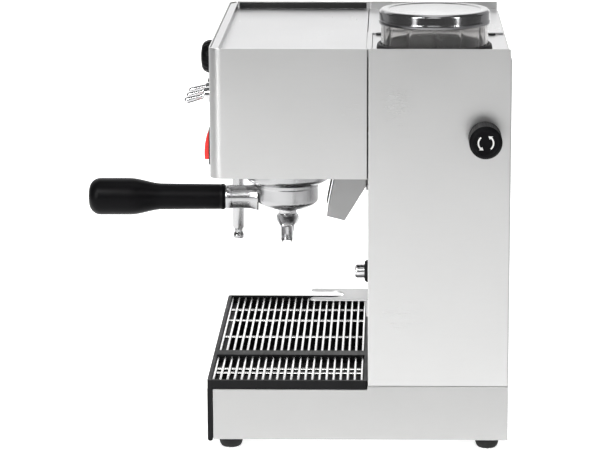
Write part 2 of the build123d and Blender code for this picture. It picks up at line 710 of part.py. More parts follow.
# ---------------------------------------------------------------- boiler
floor_z = head_z + sheet
flange_radius = boiler_radius + 5
flange_height = 4.0
boiler_bore = boiler_radius - boiler_wall
bolt_radius = flange_radius - 2.3
bolts = [(group_x + bolt_radius * cos(radians(a)), group_y + bolt_radius * sin(radians(a)))
         for a in (45, 135, 225, 315)]
with BuildPart() as boiler_lower:
    turn([(0, floor_z), (boiler_radius, floor_z), (boiler_radius, boiler_joint_z - flange_height),
          (flange_radius, boiler_joint_z - flange_height), (flange_radius, boiler_joint_z),
          (boiler_bore, boiler_joint_z), (boiler_bore, floor_z + boiler_wall),
          (0, floor_z + boiler_wall)], group_axis)
    for x, y in bolts:
        disc(bolt_shank + fit, boiler_joint_z - flange_height, boiler_joint_z, axis_up(x, y),
             Mode.SUBTRACT)
save(boiler_lower, "boiler_lower")

element_leg = 14.0
with BuildPart() as boiler_upper:
    turn([(boiler_bore, boiler_joint_z), (flange_radius, boiler_joint_z),
          (flange_radius, boiler_joint_z + flange_height), (boiler_radius, boiler_joint_z + flange_height),
          (boiler_radius, boiler_top_z), (0, boiler_top_z), (0, boiler_top_z - boiler_wall),
          (boiler_bore, boiler_top_z - boiler_wall)], group_axis)
    for x, y in bolts:
        disc(bolt_shank + fit, boiler_joint_z, boiler_joint_z + flange_height, axis_up(x, y),
             Mode.SUBTRACT)
    for side in (-1, 1):
        disc(4.0, boiler_top_z - 6, boiler_top_z + 1,
             axis_up(group_x + side * element_leg, group_y), Mode.SUBTRACT)
save(boiler_upper, "boiler_upper")

with BuildPart() as heating_element:
    with Locations((group_x, group_y, boiler_joint_z + 8)):
        Torus(element_leg, 3.5)
    for side in (-1, 1):
        disc(3.5, boiler_joint_z + 8, boiler_top_z + 14,
             axis_up(group_x + side * element_leg, group_y))
        disc(4.0, boiler_top_z - 4, boiler_top_z + 3,
             axis_up(group_x + side * element_leg, group_y))
save(heating_element, "heating_element")

with BuildPart() as solenoid_valve:
    valve_x = (group_x + 67, group_x + 93)
    block(valve_x, (group_y - 13, group_y + 13), (floor_z, floor_z + 20))
    block((valve_x[0] - 1, valve_x[1] + 1), (group_y - 15, group_y + 15), (floor_z + 20, floor_z + 46))
    fillet(solenoid_valve.edges().filter_by(Axis.Z), 1.5)
save(solenoid_valve, "solenoid_valve")

# ---------------------------------------------------------------- water
with BuildPart() as water_tank:
    with BuildSketch(at_z(shelf_z + gap)):
        with Locations(((tank_x[0] + tank_x[1]) / 2, (tank_y[0] + tank_y[1]) / 2)):
            RectangleRounded(tank_x[1] - tank_x[0], tank_y[1] - tank_y[0], tank_corner)
    extrude(amount=tank_top_z - shelf_z - gap)
    with BuildSketch(at_z(shelf_z + gap + tank_wall)):
        with Locations(((tank_x[0] + tank_x[1]) / 2, (tank_y[0] + tank_y[1]) / 2)):
            RectangleRounded(tank_x[1] - tank_x[0] - 2 * tank_wall,
                             tank_y[1] - tank_y[0] - 2 * tank_wall, tank_corner - tank_wall)
    extrude(amount=tank_top_z, mode=Mode.SUBTRACT)
save(water_tank, "water_tank")

with BuildPart() as tank_lid:
    lid_z = deck_z + gap
    block((-inner_x + gap, lid_edge_x - gap), (lid_front_y, inner_back_y - gap),
          (lid_z, lid_z + lid_thickness))
    fillet(tank_lid.edges().filter_by(Axis.Z), 2.0)
save(tank_lid, "tank_lid")

with BuildPart() as pump:
    pump_axis = axis_right(0, pump_y, pump_z)
    disc(16.0, pump_x[0] + 6, pump_x[1] - 10, pump_axis)
    disc(8.0, pump_x[0], pump_x[1], pump_axis)
    block((pump_x[0] + 24, pump_x[1] - 26), (pump_y - 22, pump_y + 22), (pump_z - 19, pump_z + 19))
    block((pump_x[0] + 18, pump_x[0] + 24), (pump_y - 26, pump_y + 26), (base_z + sheet, pump_z + 10))
    block((pump_x[1] - 26, pump_x[1] - 20), (pump_y - 26, pump_y + 26), (base_z + sheet, pump_z + 10))
save(pump, "pump")

with BuildPart() as water_pipes:
    boiler_port = (group_x + boiler_radius, group_y, boiler_joint_z - 14)
    pipe([(pump_x[1], pump_y, pump_z), (rise_x, pump_y, pump_z), (rise_x, pump_y, boiler_port[2]),
          (rise_x, group_y, boiler_port[2]), boiler_port], 2.5, 8)
    steam_port = (group_x, group_y + 20, boiler_top_z)
    over_z = boiler_top_z + 12
    pipe([steam_port, (*steam_port[:2], over_z), (steam_x, valve_y[1] - 7, over_z),
          (steam_x, valve_y[1] - 7, steam_z + steam_valve_radius)], 2.0, 5)
    pipe([(steam_x, valve_y[1] - 15, steam_z - steam_valve_radius), (steam_x, valve_y[1] - 15, steam_z - 34),
          (wand_x, wand_y, steam_z - 48), (wand_x, wand_y, head_z + 0.5)], 2.0, 8)
    pipe([(pump_x[0], pump_y, pump_z), (pump_x[0] - 16, pump_y, pump_z),
          (pump_x[0] - 16, pump_y, shelf_z - 34), (tank_port_x, pump_y, shelf_z - 18),
          (tank_port_x, pump_y, shelf_z)], 3.0, 8)
save(water_pipes, "water_pipes")

with BuildPart() as mains_inlet:
    block((inlet_x - 13.5, inlet_x + 13.5), (inner_back_y - 22, back_y), (inlet_z - 9.5, inlet_z + 9.5))
    block((inlet_x - 18, inlet_x + 18), (inner_back_y - 2, inner_back_y), (inlet_z - 13, inlet_z + 13))
    block((inlet_x - 11, inlet_x + 11), (inner_back_y - 16, back_y + 1), (inlet_z - 7, inlet_z + 7),
          Mode.SUBTRACT)
    for offset in (-7, 0, 7):
        block((inlet_x + offset - 1, inlet_x + offset + 1), (inner_back_y - 18, inner_back_y - 4),
              (inlet_z - 3, inlet_z + 3))
save(mains_inlet, "mains_inlet")

# ---------------------------------------------------------------- grinder
grinder_axis = axis_up(grinder_x, grinder_y)
chamber_radius = burr_sleeve_radius - 3
rotor_radius = motor_radius - 15
with BuildPart() as grinder_motor:
    turn([(shaft_radius + fit, bracket_z - motor_height), (motor_radius, bracket_z - motor_height),
          (motor_radius, bracket_z), (shaft_radius + fit, bracket_z), (shaft_radius + fit, bracket_z - 8),
          (rotor_radius + 0.6, bracket_z - 8), (rotor_radius + 0.6, bracket_z - motor_height + 8),
          (shaft_radius + fit, bracket_z - motor_height + 8)], grinder_axis)
save(grinder_motor, "grinder_motor")

shaft_top = worm_z - 4
with BuildPart() as grinder_rotor:
    turn([(0, bracket_z - motor_height), (shaft_radius, bracket_z - motor_height),
          (shaft_radius, bracket_z - motor_height + 14), (rotor_radius, bracket_z - motor_height + 14),
          (rotor_radius, bracket_z - 14), (shaft_radius, bracket_z - 14), (shaft_radius, shaft_top),
          (0, shaft_top)], grinder_axis)
save(grinder_rotor, "grinder_rotor")

sleeve_low_z = housing_z + 20
with BuildPart() as grinder_housing:
    turn([(shaft_radius + fit, housing_z), (burr_housing_radius, housing_z),
          (burr_housing_radius, worm_z - 12), (burr_sleeve_radius + gap, worm_z - 12),
          (burr_sleeve_radius + gap, sleeve_low_z - gap), (chamber_radius, sleeve_low_z - gap),
          (chamber_radius, housing_z + 3), (shaft_radius + fit, housing_z + 3)], grinder_axis)
    duct_x = (chute_x - duct_half, chute_x + duct_half)
    duct_y = (column_y - 4, grinder_y - chamber_radius + 6)
    block(duct_x, duct_y, duct_z)
    block((duct_x[0] + 2, duct_x[1] - 2), (duct_y[0] - 1, grinder_y - 14), (duct_z[0] + 2, duct_z[1] - 2),
          Mode.SUBTRACT)
    disc(chamber_radius, housing_z + 3, sleeve_low_z, grinder_axis, Mode.SUBTRACT)
    for low_x in (grinder_x - 31, grinder_x + 23):
        lug = (low_x, low_x + 8)
        block(lug, (grinder_y + 24, worm_y + 7), (worm_z - 24, worm_z - 12))
        block(lug, (worm_y - 6.5, worm_y + 7), (worm_z - 13, worm_z + 8))
    disc(burr_sleeve_radius + gap, sleeve_low_z - gap, worm_z - 11, grinder_axis, Mode.SUBTRACT)
    disc(worm_shaft_radius + fit, grinder_x - 40, grinder_x + 40,
         axis_right(0, worm_y, worm_z), Mode.SUBTRACT)
save(grinder_housing, "grinder_housing")

burr_base_z = housing_z + 21
with BuildPart() as inner_burr:
    turn([(shaft_radius, burr_base_z), (19, burr_base_z), (19, burr_base_z + 5),
          (8, shaft_top), (shaft_radius, shaft_top)], grinder_axis)
    for step in range(6):
        angle = step * 60
        with BuildSketch(Plane(origin=(grinder_x, grinder_y, burr_base_z + 5),
                               x_dir=(cos(radians(angle)), sin(radians(angle)), 0))):
            with Locations((15, 0)):
                Rectangle(8, 2)
        extrude(amount=20, mode=Mode.SUBTRACT)
save(inner_burr, "inner_burr")

with BuildPart() as burr_carrier:
    turn([(21, sleeve_low_z), (burr_sleeve_radius, sleeve_low_z), (burr_sleeve_radius, worm_z - 11 + gap),
          (carrier_radius - 4, worm_z - 11 + gap), (carrier_radius - 4, worm_z - 6),
          (carrier_radius, worm_z - 6), (carrier_radius, worm_z + 6), (carrier_radius - 4, worm_z + 6),
          (carrier_radius - 4, throat_z), (throat_radius + gap, throat_z),
          (throat_radius + gap, worm_z + 6), (11, worm_z - 2), (11, shaft_top - 2), (21, burr_base_z + 4)],
         grinder_axis)
save(burr_carrier, "burr_carrier")

worm_axis = axis_right(0, worm_y, worm_z)
with BuildPart() as grind_worm:
    disc(worm_shaft_radius, grinder_x - 33, half_width + grind_knob_reach - 8, worm_axis)
    disc(worm_radius, grinder_x - 12, grinder_x + 12, worm_axis)
save(grind_worm, "grind_worm")

with BuildPart() as grind_knob:
    knob_start = half_width + 1.0
    knob_end = half_width + grind_knob_reach
    turn([(worm_shaft_radius, knob_start), (grind_knob_radius - 1, knob_start),
          (grind_knob_radius, knob_start + 1), (grind_knob_radius, knob_end - 2.5),
          (grind_knob_radius - 2.5, knob_end), (0, knob_end), (0, knob_end - 8),
          (worm_shaft_radius, knob_end - 8)], worm_axis)
save(grind_knob, "grind_knob")

hopper_axis = grinder_axis
with BuildPart() as hopper:
    throat_inner = throat_radius - hopper_wall
    bowl_inner = hopper_radius - hopper_wall
    rim_z = hopper_lid_z[1] - 4
    cone_z = deck_z - 2
    turn([(throat_inner, throat_z + gap), (throat_radius, throat_z + gap),
          (throat_radius, throat_z + 14), (hopper_radius, cone_z), (hopper_radius, rim_z),
          (bowl_inner, rim_z), (bowl_inner, cone_z + 1), (throat_inner, throat_z + 15)], hopper_axis)
save(hopper, "hopper")

with BuildPart() as hopper_collar:
    ring(collar_radius, hopper_radius + gap, deck_z, deck_z + collar_height, hopper_axis)
save(hopper_collar, "hopper_collar")

with BuildPart() as hopper_lid:
    turn([(0, hopper_lid_z[1] - 3), (hopper_radius + gap, hopper_lid_z[1] - 3),
          (hopper_radius + gap, hopper_lid_z[0]), (hopper_lid_radius, hopper_lid_z[0]),
          (hopper_lid_radius, hopper_lid_z[1] - 1.2), (hopper_lid_radius - 1.2, hopper_lid_z[1]),
          (0, hopper_lid_z[1])], hopper_axis)
save(hopper_lid, "hopper_lid")

# ---------------------------------------------------------------- chute, fork, button
chute_low_z = 211.0
chute_y = (column_y - 37, column_y - 29, column_y - 21)
chute_profile = [(chute_y[1], head_z), (chute_y[0], chute_low_z), (chute_y[2], chute_low_z - 4),
                 (column_y - 2, head_z - 12), (column_y - 2, head_z)]
with BuildPart() as grind_chute:
    with BuildSketch(at_x(chute_x - chute_width / 2)) as side_view:
        with BuildLine():
            Polyline(*chute_profile, close=True)
        make_face()
    extrude(amount=chute_width)
    with BuildSketch(at_x(chute_x - chute_width / 2 + chute_sheet)) as hollow:
        with BuildLine():
            Polyline((chute_y[1] + 1.2, head_z + 1), (chute_y[0] + 0.8, chute_low_z - 11),
                     (chute_y[2] - 4.1, chute_low_z - 11), (column_y - 3, head_z - 12.4),
                     (column_y - 3, head_z - 11), (column_y + 1, head_z - 11),
                     (column_y + 1, head_z + 1), close=True)
        make_face()
    extrude(amount=chute_width - 2 * chute_sheet, mode=Mode.SUBTRACT)
    block((chute_x - chute_width / 2, chute_x + chute_width / 2), (column_y - 2, column_y),
          (head_z - 15, head_z - 11))
save(grind_chute, "grind_chute")

flap_low_z = 222.0
flap_y = chute_y[1] - 1.6
flap_lean = (chute_y[1] - chute_y[0]) * (head_z - flap_low_z) / (head_z - chute_low_z)
with BuildPart() as chute_flap:
    with BuildSketch(at_x(chute_x - chute_width / 2 + 4)):
        with BuildLine():
            Polyline((flap_y, head_z), (flap_y - flap_lean, flap_low_z),
                     (flap_y - flap_lean - 1, flap_low_z), (flap_y - 1, head_z), close=True)
        make_face()
    extrude(amount=chute_width - 8)
save(chute_flap, "chute_flap")

with BuildPart() as portafilter_fork:
    fork_x = (chute_x - fork_width / 2, chute_x + fork_width / 2)
    block(fork_x, (column_y - fork_reach, column_y), (fork_z - fork_thickness, fork_z))
    block(fork_x, (column_y - fork_thickness, column_y), (fork_z - 16, fork_z))
    with BuildSketch(at_z(fork_z)):
        slot_middle = fork_slot_end - fork_slot / 2
        with Locations((chute_x, slot_middle)):
            Circle(fork_slot / 2)
        with Locations((chute_x, slot_middle - 30)):
            Rectangle(fork_slot, 60)
    extrude(amount=-2 * fork_thickness, mode=Mode.SUBTRACT)
    tips = portafilter_fork.edges().filter_by(Axis.Z).group_by(Axis.Y)[0]
    fillet(tips, 4.0)
save(portafilter_fork, "portafilter_fork")

button_axis = axis_front(chute_x, column_y, button_z)
with BuildPart() as grind_button:
    turn([(0, -2), (button_radius, -2), (button_radius, button_reach - 1),
          (button_radius - 1, button_reach), (0, button_reach)], button_axis)
save(grind_button, "grind_button")

with BuildPart() as grind_switch:
    ring(button_flange_radius, button_radius + gap, 0, 3.5, button_axis)
    ring(button_radius + 1.8, button_radius + gap, -sheet - 5, 0, button_axis)
    block((chute_x - 9, chute_x + 9), (column_y + sheet + 5, column_y + sheet + 12),
          (button_z - 9, button_z + 9))
save(grind_switch, "grind_switch")

# ---------------------------------------------------------------- fasteners
with BuildPart() as screws:
    for x, y in deck_screws:
        disc(deck_screw_head, deck_z, deck_z + 1.6, axis_up(x, y))
        disc(deck_screw_radius, deck_z - 6, deck_z, axis_up(x, y))
    for x, y in bolts:
        disc(bolt_head, boiler_joint_z + flange_height, boiler_joint_z + flange_height + 3, axis_up(x, y))
        disc(bolt_shank, boiler_joint_z - flange_height, boiler_joint_z + flange_height, axis_up(x, y))
    disc(screen_screw_head, screen_z - 7.2, screen_z - 5, group_axis)
    disc(screen_screw_radius, screen_z - 5, head_z - 10, group_axis)
save(screws, "screws")
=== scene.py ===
"""Looks for the espresso machine: metres, in the CAD model's frame.

Sheet-metal pieces are the CAD shapes with softened edges. Turned, moulded and wire pieces
are built here around the CAD nodes' own boxes, and stand for those nodes.
"""
import json
import math

import bmesh
import bpy
from mathutils import Matrix, Vector


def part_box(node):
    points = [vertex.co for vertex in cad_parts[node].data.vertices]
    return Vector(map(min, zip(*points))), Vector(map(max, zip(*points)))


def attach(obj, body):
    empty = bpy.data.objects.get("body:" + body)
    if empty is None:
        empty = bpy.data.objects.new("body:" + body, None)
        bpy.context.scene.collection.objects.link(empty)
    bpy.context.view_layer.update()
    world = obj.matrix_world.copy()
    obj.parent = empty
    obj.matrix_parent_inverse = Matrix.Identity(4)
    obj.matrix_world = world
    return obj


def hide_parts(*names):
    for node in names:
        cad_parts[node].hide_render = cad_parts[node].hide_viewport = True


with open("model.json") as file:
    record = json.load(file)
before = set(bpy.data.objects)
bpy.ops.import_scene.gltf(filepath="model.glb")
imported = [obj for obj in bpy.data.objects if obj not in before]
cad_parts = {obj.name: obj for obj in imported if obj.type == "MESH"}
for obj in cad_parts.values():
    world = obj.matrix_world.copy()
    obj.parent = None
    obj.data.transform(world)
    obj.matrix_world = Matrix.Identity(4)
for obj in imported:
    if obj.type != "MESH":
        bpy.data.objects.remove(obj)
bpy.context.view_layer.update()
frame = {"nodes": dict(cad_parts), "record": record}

MM = 0.001
X, Y, Z = Vector((1, 0, 0)), Vector((0, 1, 0)), Vector((0, 0, 1))
FRONT = -Y
ANY_WAY, ALONG_X, ALONG_Y, ALONG_Z = (1, 1, 1), (0.02, 1, 1), (1, 0.02, 1), (1, 1, 0.02)


def middle(node_name):
    low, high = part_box(node_name)
    return (low + high) / 2


# ---------------------------------------------------------------- materials
def new_material(name):
    """A node material and its Principled shader."""
    material = bpy.data.materials.new(name)
    material.use_nodes = True
    return material, material.node_tree.nodes["Principled BSDF"]


def node(material, kind, **sockets):
    """A new node, with values for the sockets named, where _ stands for a space."""
    made = material.node_tree.nodes.new(kind)
    for key, value in sockets.items():
        made.inputs[key.replace("_", " ")].default_value = value
    return made


def link(material, start, end):
    material.node_tree.links.new(start, end)


def stretched_noise(material, stretch, scale, detail=3.0):
    """Noise drawn out along the directions where stretch is small."""
    place = node(material, "ShaderNodeTexCoord")
    mapping = node(material, "ShaderNodeMapping")
    mapping.inputs["Scale"].default_value = stretch
    noise = node(material, "ShaderNodeTexNoise", Scale=scale, Detail=detail)
    link(material, place.outputs["Object"], mapping.inputs["Vector"])
    link(material, mapping.outputs["Vector"], noise.inputs["Vector"])
    return noise


NOISE_LOW, NOISE_HIGH = 0.3, 0.7     # nearly all of a noise texture's values lie between these


def ramp_to(material, source, socket, low, high, ends=(NOISE_LOW, NOISE_HIGH), kind="LINEAR"):
    """Drive a socket from a source: low where the source is ends[0], high where it is ends[1]."""
    spread = node(material, "ShaderNodeMapRange", From_Min=ends[0], From_Max=ends[1],
                  To_Min=low, To_Max=high)
    spread.interpolation_type = kind
    link(material, source, spread.inputs["Value"])
    link(material, spread.outputs["Result"], socket)


def tint_to(material, source, socket, dark, light):
    """Drive a colour socket from a 0..1 source, between two colours."""
    blend = node(material, "ShaderNodeValToRGB")
    blend.color_ramp.elements[0].position = NOISE_LOW
    blend.color_ramp.elements[1].position = NOISE_HIGH
    blend.color_ramp.elements[0].color = (*dark, 1)
    blend.color_ramp.elements[1].color = (*light, 1)
    link(material, source, blend.inputs["Fac"])
    link(material, blend.outputs["Color"], socket)


def add_bump(material, shader, source, strength, distance):
    bump = node(material, "ShaderNodeBump", Strength=strength, Distance=distance)
    link(material, source, bump.inputs["Height"])
    link(material, bump.outputs["Normal"], shader.inputs["Normal"])


def shade(colour, factor):
    return tuple(channel * factor for channel in colour)


def satin_steel(name, colour, rough, grain=ANY_WAY):
    """Brushed sheet: fine lines along the grain, and slow patches where it was handled."""
    material, shader = new_material(name)
    shader.inputs["Metallic"].default_value = 1.0
    lines = stretched_noise(material, grain, 2600.0, 2.0)
    patches = stretched_noise(material, ANY_WAY, 14.0, 2.0)
    mix = node(material, "ShaderNodeMix", Factor=0.6)
    link(material, lines.outputs["Fac"], mix.inputs["A"])
    link(material, patches.outputs["Fac"], mix.inputs["B"])
    tint_to(material, mix.outputs["Result"], shader.inputs["Base Color"],
            shade(colour, 0.975), shade(colour, 1.015))
    ramp_to(material, mix.outputs["Result"], shader.inputs["Roughness"], rough - 0.03, rough + 0.04)
    add_bump(material, shader, lines.outputs["Fac"], 0.03, 0.00002)
    return material


def polished(name, colour, rough, drawn=0.0):
    """Plated and buffed metal, with faint smears that show in its gloss. Where it was turned on
    an upright axis, drawn stretches its highlights up and down."""
    material, shader = new_material(name)
    if drawn:
        tangent = node(material, "ShaderNodeTangent")
        tangent.direction_type = "RADIAL"
        tangent.axis = "Z"
        link(material, tangent.outputs["Tangent"], shader.inputs["Tangent"])
        shader.inputs["Anisotropic"].default_value = drawn
    shader.inputs["Metallic"].default_value = 1.0
    smears = stretched_noise(material, (1, 1, 0.4), 45.0, 4.0)
    tint_to(material, smears.outputs["Fac"], shader.inputs["Base Color"],
            shade(colour, 0.96), colour)
    ramp_to(material, smears.outputs["Fac"], shader.inputs["Roughness"], rough, rough + 0.05)
    fine = stretched_noise(material, ANY_WAY, 400.0, 2.0)
    add_bump(material, shader, fine.outputs["Fac"], 0.03, 0.00005)
    return material


def moulded(name, colour, rough, grain_scale=1800.0, grain=0.18, gloss=0.5):
    """Moulded plastic or rubber: a fine spark-eroded grain and slightly worn sheen."""
    material, shader = new_material(name)
    shader.inputs["Specular IOR Level"].default_value = gloss
    wear = stretched_noise(material, ANY_WAY, 30.0, 4.0)
    tint_to(material, wear.outputs["Fac"], shader.inputs["Base Color"],
            shade(colour, 0.85), shade(colour, 1.2))
    ramp_to(material, wear.outputs["Fac"], shader.inputs["Roughness"], rough - 0.05, rough + 0.08)
    texture = stretched_noise(material, ANY_WAY, grain_scale, 2.0)
    add_bump(material, shader, texture.outputs["Fac"], grain, 0.0001)
    return material


def clear_plastic(name, colour, rough, through=0.9):
    """Clear moulding, tinted by its wall. The share of light that enters it is through."""
    material, shader = new_material(name)
    shader.inputs["Base Color"].default_value = (*colour, 1)
    shader.inputs["Transmission Weight"].default_value = through
    shader.inputs["IOR"].default_value = 1.46
    flow = stretched_noise(material, (1, 1, 0.3), 60.0, 3.0)
    ramp_to(material, flow.outputs["Fac"], shader.inputs["Roughness"], rough, rough + 0.06)
    add_bump(material, shader, flow.outputs["Fac"], 0.05, 0.0002)
    return material


def lit_plastic(name, colour, glow):
    """A translucent cap with a lamp behind it."""
    material, shader = new_material(name)
    cloud = stretched_noise(material, ANY_WAY, 90.0, 2.0)
    tint_to(material, cloud.outputs["Fac"], shader.inputs["Base Color"],
            shade(colour, 0.85), colour)
    ramp_to(material, cloud.outputs["Fac"], shader.inputs["Roughness"], 0.16, 0.26)
    shader.inputs["Emission Color"].default_value = (*colour, 1)
    shader.inputs["Emission Strength"].default_value = glow
    add_bump(material, shader, cloud.outputs["Fac"], 0.05, 0.0002)
    return material


steel_side = satin_steel("side_steel", (0.60, 0.60, 0.597), 0.30, ALONG_Y)
steel_across = satin_steel("cross_steel", (0.66, 0.66, 0.66), 0.26, ALONG_X)
# Painted shade: the top plates get a darker copy of the sheet steel, which holds back the bright reflection
# they catch from above.
steel_top_painted_shade = satin_steel("top_steel_painted_shade", (0.52, 0.52, 0.525), 0.30, ALONG_X)
steel_base = satin_steel("base_steel", (0.46, 0.46, 0.457), 0.34, ALONG_Y)
# Painted shade: the chute gets a much darker copy of the sheet steel.
steel_chute_painted_shade = satin_steel("chute_steel_painted_shade", (0.33, 0.33, 0.33), 0.34, ALONG_Y)
steel_fittings = satin_steel("fitting_steel", (0.60, 0.60, 0.60), 0.36, ALONG_Z)
steel_inner = satin_steel("inner_steel", (0.50, 0.50, 0.50), 0.42, ALONG_X)
wire = polished("bright_wire", (0.82, 0.82, 0.81), 0.16)
chrome = polished("chrome", (0.62, 0.62, 0.63), 0.09)
# Painted shade: the lid's chrome is made far darker than plain chrome, which holds down the bright reflection
# on its top and skirt.
lid_chrome_painted_shade = polished("lid_chrome_painted_shade", (0.28, 0.28, 0.285), 0.10, 0.5)
turned_chrome = polished("turned_chrome", (0.50, 0.50, 0.505), 0.17, 0.85)
# Painted shade: the group's chrome is darker than plain chrome and stands in for a dark surround in its
# reflection.
group_chrome_painted_shade = polished("group_chrome_painted_shade", (0.46, 0.46, 0.465), 0.18, 0.85)
black = moulded("black_moulding", (0.005, 0.005, 0.0055), 0.45, gloss=0.14)
grip_black = moulded("grip_black", (0.0025, 0.0025, 0.003), 0.38, 1200.0, 0.08, 0.07)
rubber = moulded("rubber", (0.009, 0.009, 0.009), 0.62, 900.0, 0.3, 0.25)
powder_black = moulded("powder_coat", (0.012, 0.012, 0.013), 0.5, 2600.0, 0.4, 0.25)
brass = polished("brass", (0.70, 0.52, 0.24), 0.22)
copper = polished("copper", (0.72, 0.38, 0.24), 0.2)
smoky = clear_plastic("smoky_clear", (0.88, 0.87, 0.86), 0.04, 0.96)
tank_clear = clear_plastic("tank_clear", (0.80, 0.87, 0.90), 0.12, 0.85)
dial_glass = clear_plastic("dial_glass", (0.97, 0.98, 0.98), 0.02, 1.0)
red_lit = lit_plastic("rocker_red", (0.62, 0.02, 0.015), 0.15)
enamel = moulded("motor_enamel", (0.10, 0.10, 0.11), 0.4, 1500.0, 0.2)
alloy = satin_steel("cast_alloy", (0.52, 0.52, 0.52), 0.5)
dial_white = moulded("dial_white", (0.80, 0.80, 0.78), 0.4, 2000.0, 0.04)
mark_grey = moulded("mark_grey", (0.55, 0.55, 0.54), 0.5, 2000.0, 0.05)


# ---------------------------------------------------------------- building pieces
def add_piece(name, mesh, material, body, stands_for=()):
    """Link a finished mesh as a piece that rides on a CAD body."""
    piece = bpy.data.objects.new(name, mesh)
    bpy.context.scene.collection.objects.link(piece)
    mesh.materials.clear()
    mesh.materials.append(material)
    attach(piece, body)
    if stands_for:
        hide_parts(*stands_for)
    return piece


def smooth_by_angle(mesh, degrees=35.0):
    """Smooth shading, with the edges sharper than the angle kept crisp."""
    mesh.shade_smooth()
    mesh.set_sharp_from_angle(angle=math.radians(degrees))


def weigh_normals(mesh, degrees=35.0):
    """Normals that follow the large faces, so that flat sheet looks flat right up to its edges."""
    around = [[] for _ in mesh.vertices]
    for face in mesh.polygons:
        for index in face.vertices:
            around[index].append(face)
    limit = math.cos(math.radians(degrees))
    normals = [None] * len(mesh.loops)
    for face in mesh.polygons:
        for loop in face.loop_indices:
            total = Vector()
            for other in around[mesh.loops[loop].vertex_index]:
                if other.normal.dot(face.normal) > limit:
                    total += other.normal * other.area
            normals[loop] = total.normalized() if total.length > 0 else face.normal.copy()
    mesh.shade_smooth()
    mesh.normals_split_custom_set(normals)


def mesh_from(bm, name, degrees=35.0):
    bmesh.ops.recalc_face_normals(bm, faces=bm.faces)
    mesh = bpy.data.meshes.new(name)
    bm.to_mesh(mesh)
    bm.free()
    smooth_by_angle(mesh, degrees)
    return mesh


FOLD_ANGLE, SHARP_ANGLE, FLAT_ANGLE = math.radians(60), math.radians(32), math.radians(0.6)
LONG_EDGE, SAME_PLACE = 20 * MM, 0.05 * MM


def outer_folds(bm, low, high):
    """The long outside corners of a folded casing: upright ones, and those along its top."""
    found = []
    for edge in bm.edges:
        if len(edge.link_faces) != 2 or edge.calc_face_angle(0.0) < FOLD_ANGLE:
            continue
        ends = [vert.co for vert in edge.verts]
        on_x = all(min(abs(p.x - low.x), abs(p.x - high.x)) < SAME_PLACE for p in ends)
        on_y = all(min(abs(p.y - low.y), abs(p.y - high.y)) < SAME_PLACE for p in ends)
        on_top = all(abs(p.z - high.z) < SAME_PLACE for p in ends)
        run = ends[0] - ends[1]
        upright = on_y and abs(run.z) > LONG_EDGE
        along_top = on_top and abs(run.y) > LONG_EDGE
        if on_x and (upright or along_top):
            found.append(edge)
    return found


def softened(node_name, width, segments=2, fold=0.0):
    """A CAD node's shape with its edges rounded by a small bevel, and its long outside folds
    by a larger one."""
    bm = bmesh.new()
    bm.from_mesh(frame["nodes"][node_name].data)
    bmesh.ops.remove_doubles(bm, verts=bm.verts, dist=1e-6)
    bmesh.ops.dissolve_limit(bm, angle_limit=FLAT_ANGLE, verts=bm.verts, edges=bm.edges,
                             delimit={"NORMAL"})
    if fold:
        bmesh.ops.bevel(bm, geom=outer_folds(bm, *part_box(node_name)), offset=fold,
                        offset_type="OFFSET", segments=6, profile=0.5, affect="EDGES",
                        clamp_overlap=True, harden_normals=False)
    sharp = [e for e in bm.edges if len(e.link_faces) == 2
             and e.calc_face_angle(0.0) > SHARP_ANGLE]
    bmesh.ops.bevel(bm, geom=sharp, offset=width, offset_type="OFFSET", segments=segments,
                    profile=0.5, affect="EDGES", clamp_overlap=True, harden_normals=False)
    bmesh.ops.triangulate(bm, faces=[f for f in bm.faces if len(f.verts) > 4])
    mesh = mesh_from(bm, node_name + "_soft")
    weigh_normals(mesh)
    return mesh


def sheet_piece(node_name, material, width=0.0003, body="root", fold=0.0):
    return add_piece(node_name + "_skin", softened(node_name, width, 2, fold), material, body,
                     (node_name,))


def frame_of(axis):
    """Two unit vectors that make a right-handed set with axis."""
    side = Z if abs(axis.dot(Z)) < 0.9 else X
    u = side.cross(axis).normalized()
    return u, axis.cross(u).normalized()


def rounded(points, radius=0.0006, steps=3):
    """A (radius, height) outline with its corners eased by short arcs."""
    done = [points[0]]
    for before, here, after in zip(points, points[1:], points[2:]):
        a, p, b = Vector(before), Vector(here), Vector(after)
        cut = min(radius, (a - p).length * 0.4, (b - p).length * 0.4)
        start, end = p + (a - p).normalized() * cut, p + (b - p).normalized() * cut
        for i in range(steps + 1):
            t = i / steps
            done.append(tuple(start.lerp(p, t).lerp(p.lerp(end, t), t)))
    done.append(points[-1])
    return done


def lathe(bm, profile, origin, axis, segments=96, wave=None):
    """Turn an outline of (radius, height) about axis from origin, into bm.
    wave(angle, radius, height) may move a point's radius."""
    u, v = frame_of(axis)
    rows = []
    for radius, height in profile:
        centre = origin + axis * height
        if radius < 1e-7:
            rows.append([bm.verts.new(centre)])
            continue
        row = []
        for i in range(segments):
            angle = 2 * math.pi * i / segments
            r = wave(angle, radius, height) if wave else radius
            row.append(bm.verts.new(centre + (u * math.cos(angle) + v * math.sin(angle)) * r))
        rows.append(row)
    for low, high in zip(rows, rows[1:]):
        for i in range(segments):
            j = (i + 1) % segments
            ring = [low[i % len(low)], low[j % len(low)], high[j % len(high)], high[i % len(high)]]
            face = list(dict.fromkeys(ring))
            if len(face) > 2:
                bm.faces.new(face)


def turned(name, profile, origin, axis, material, body, stands_for=(),
           segments=96, wave=None, ease=0.0006, degrees=35.0):
    bm = bmesh.new()
    lathe(bm, rounded(profile, ease), origin, axis, segments, wave)
    return add_piece(name, mesh_from(bm, name, degrees), material, body, stands_for)


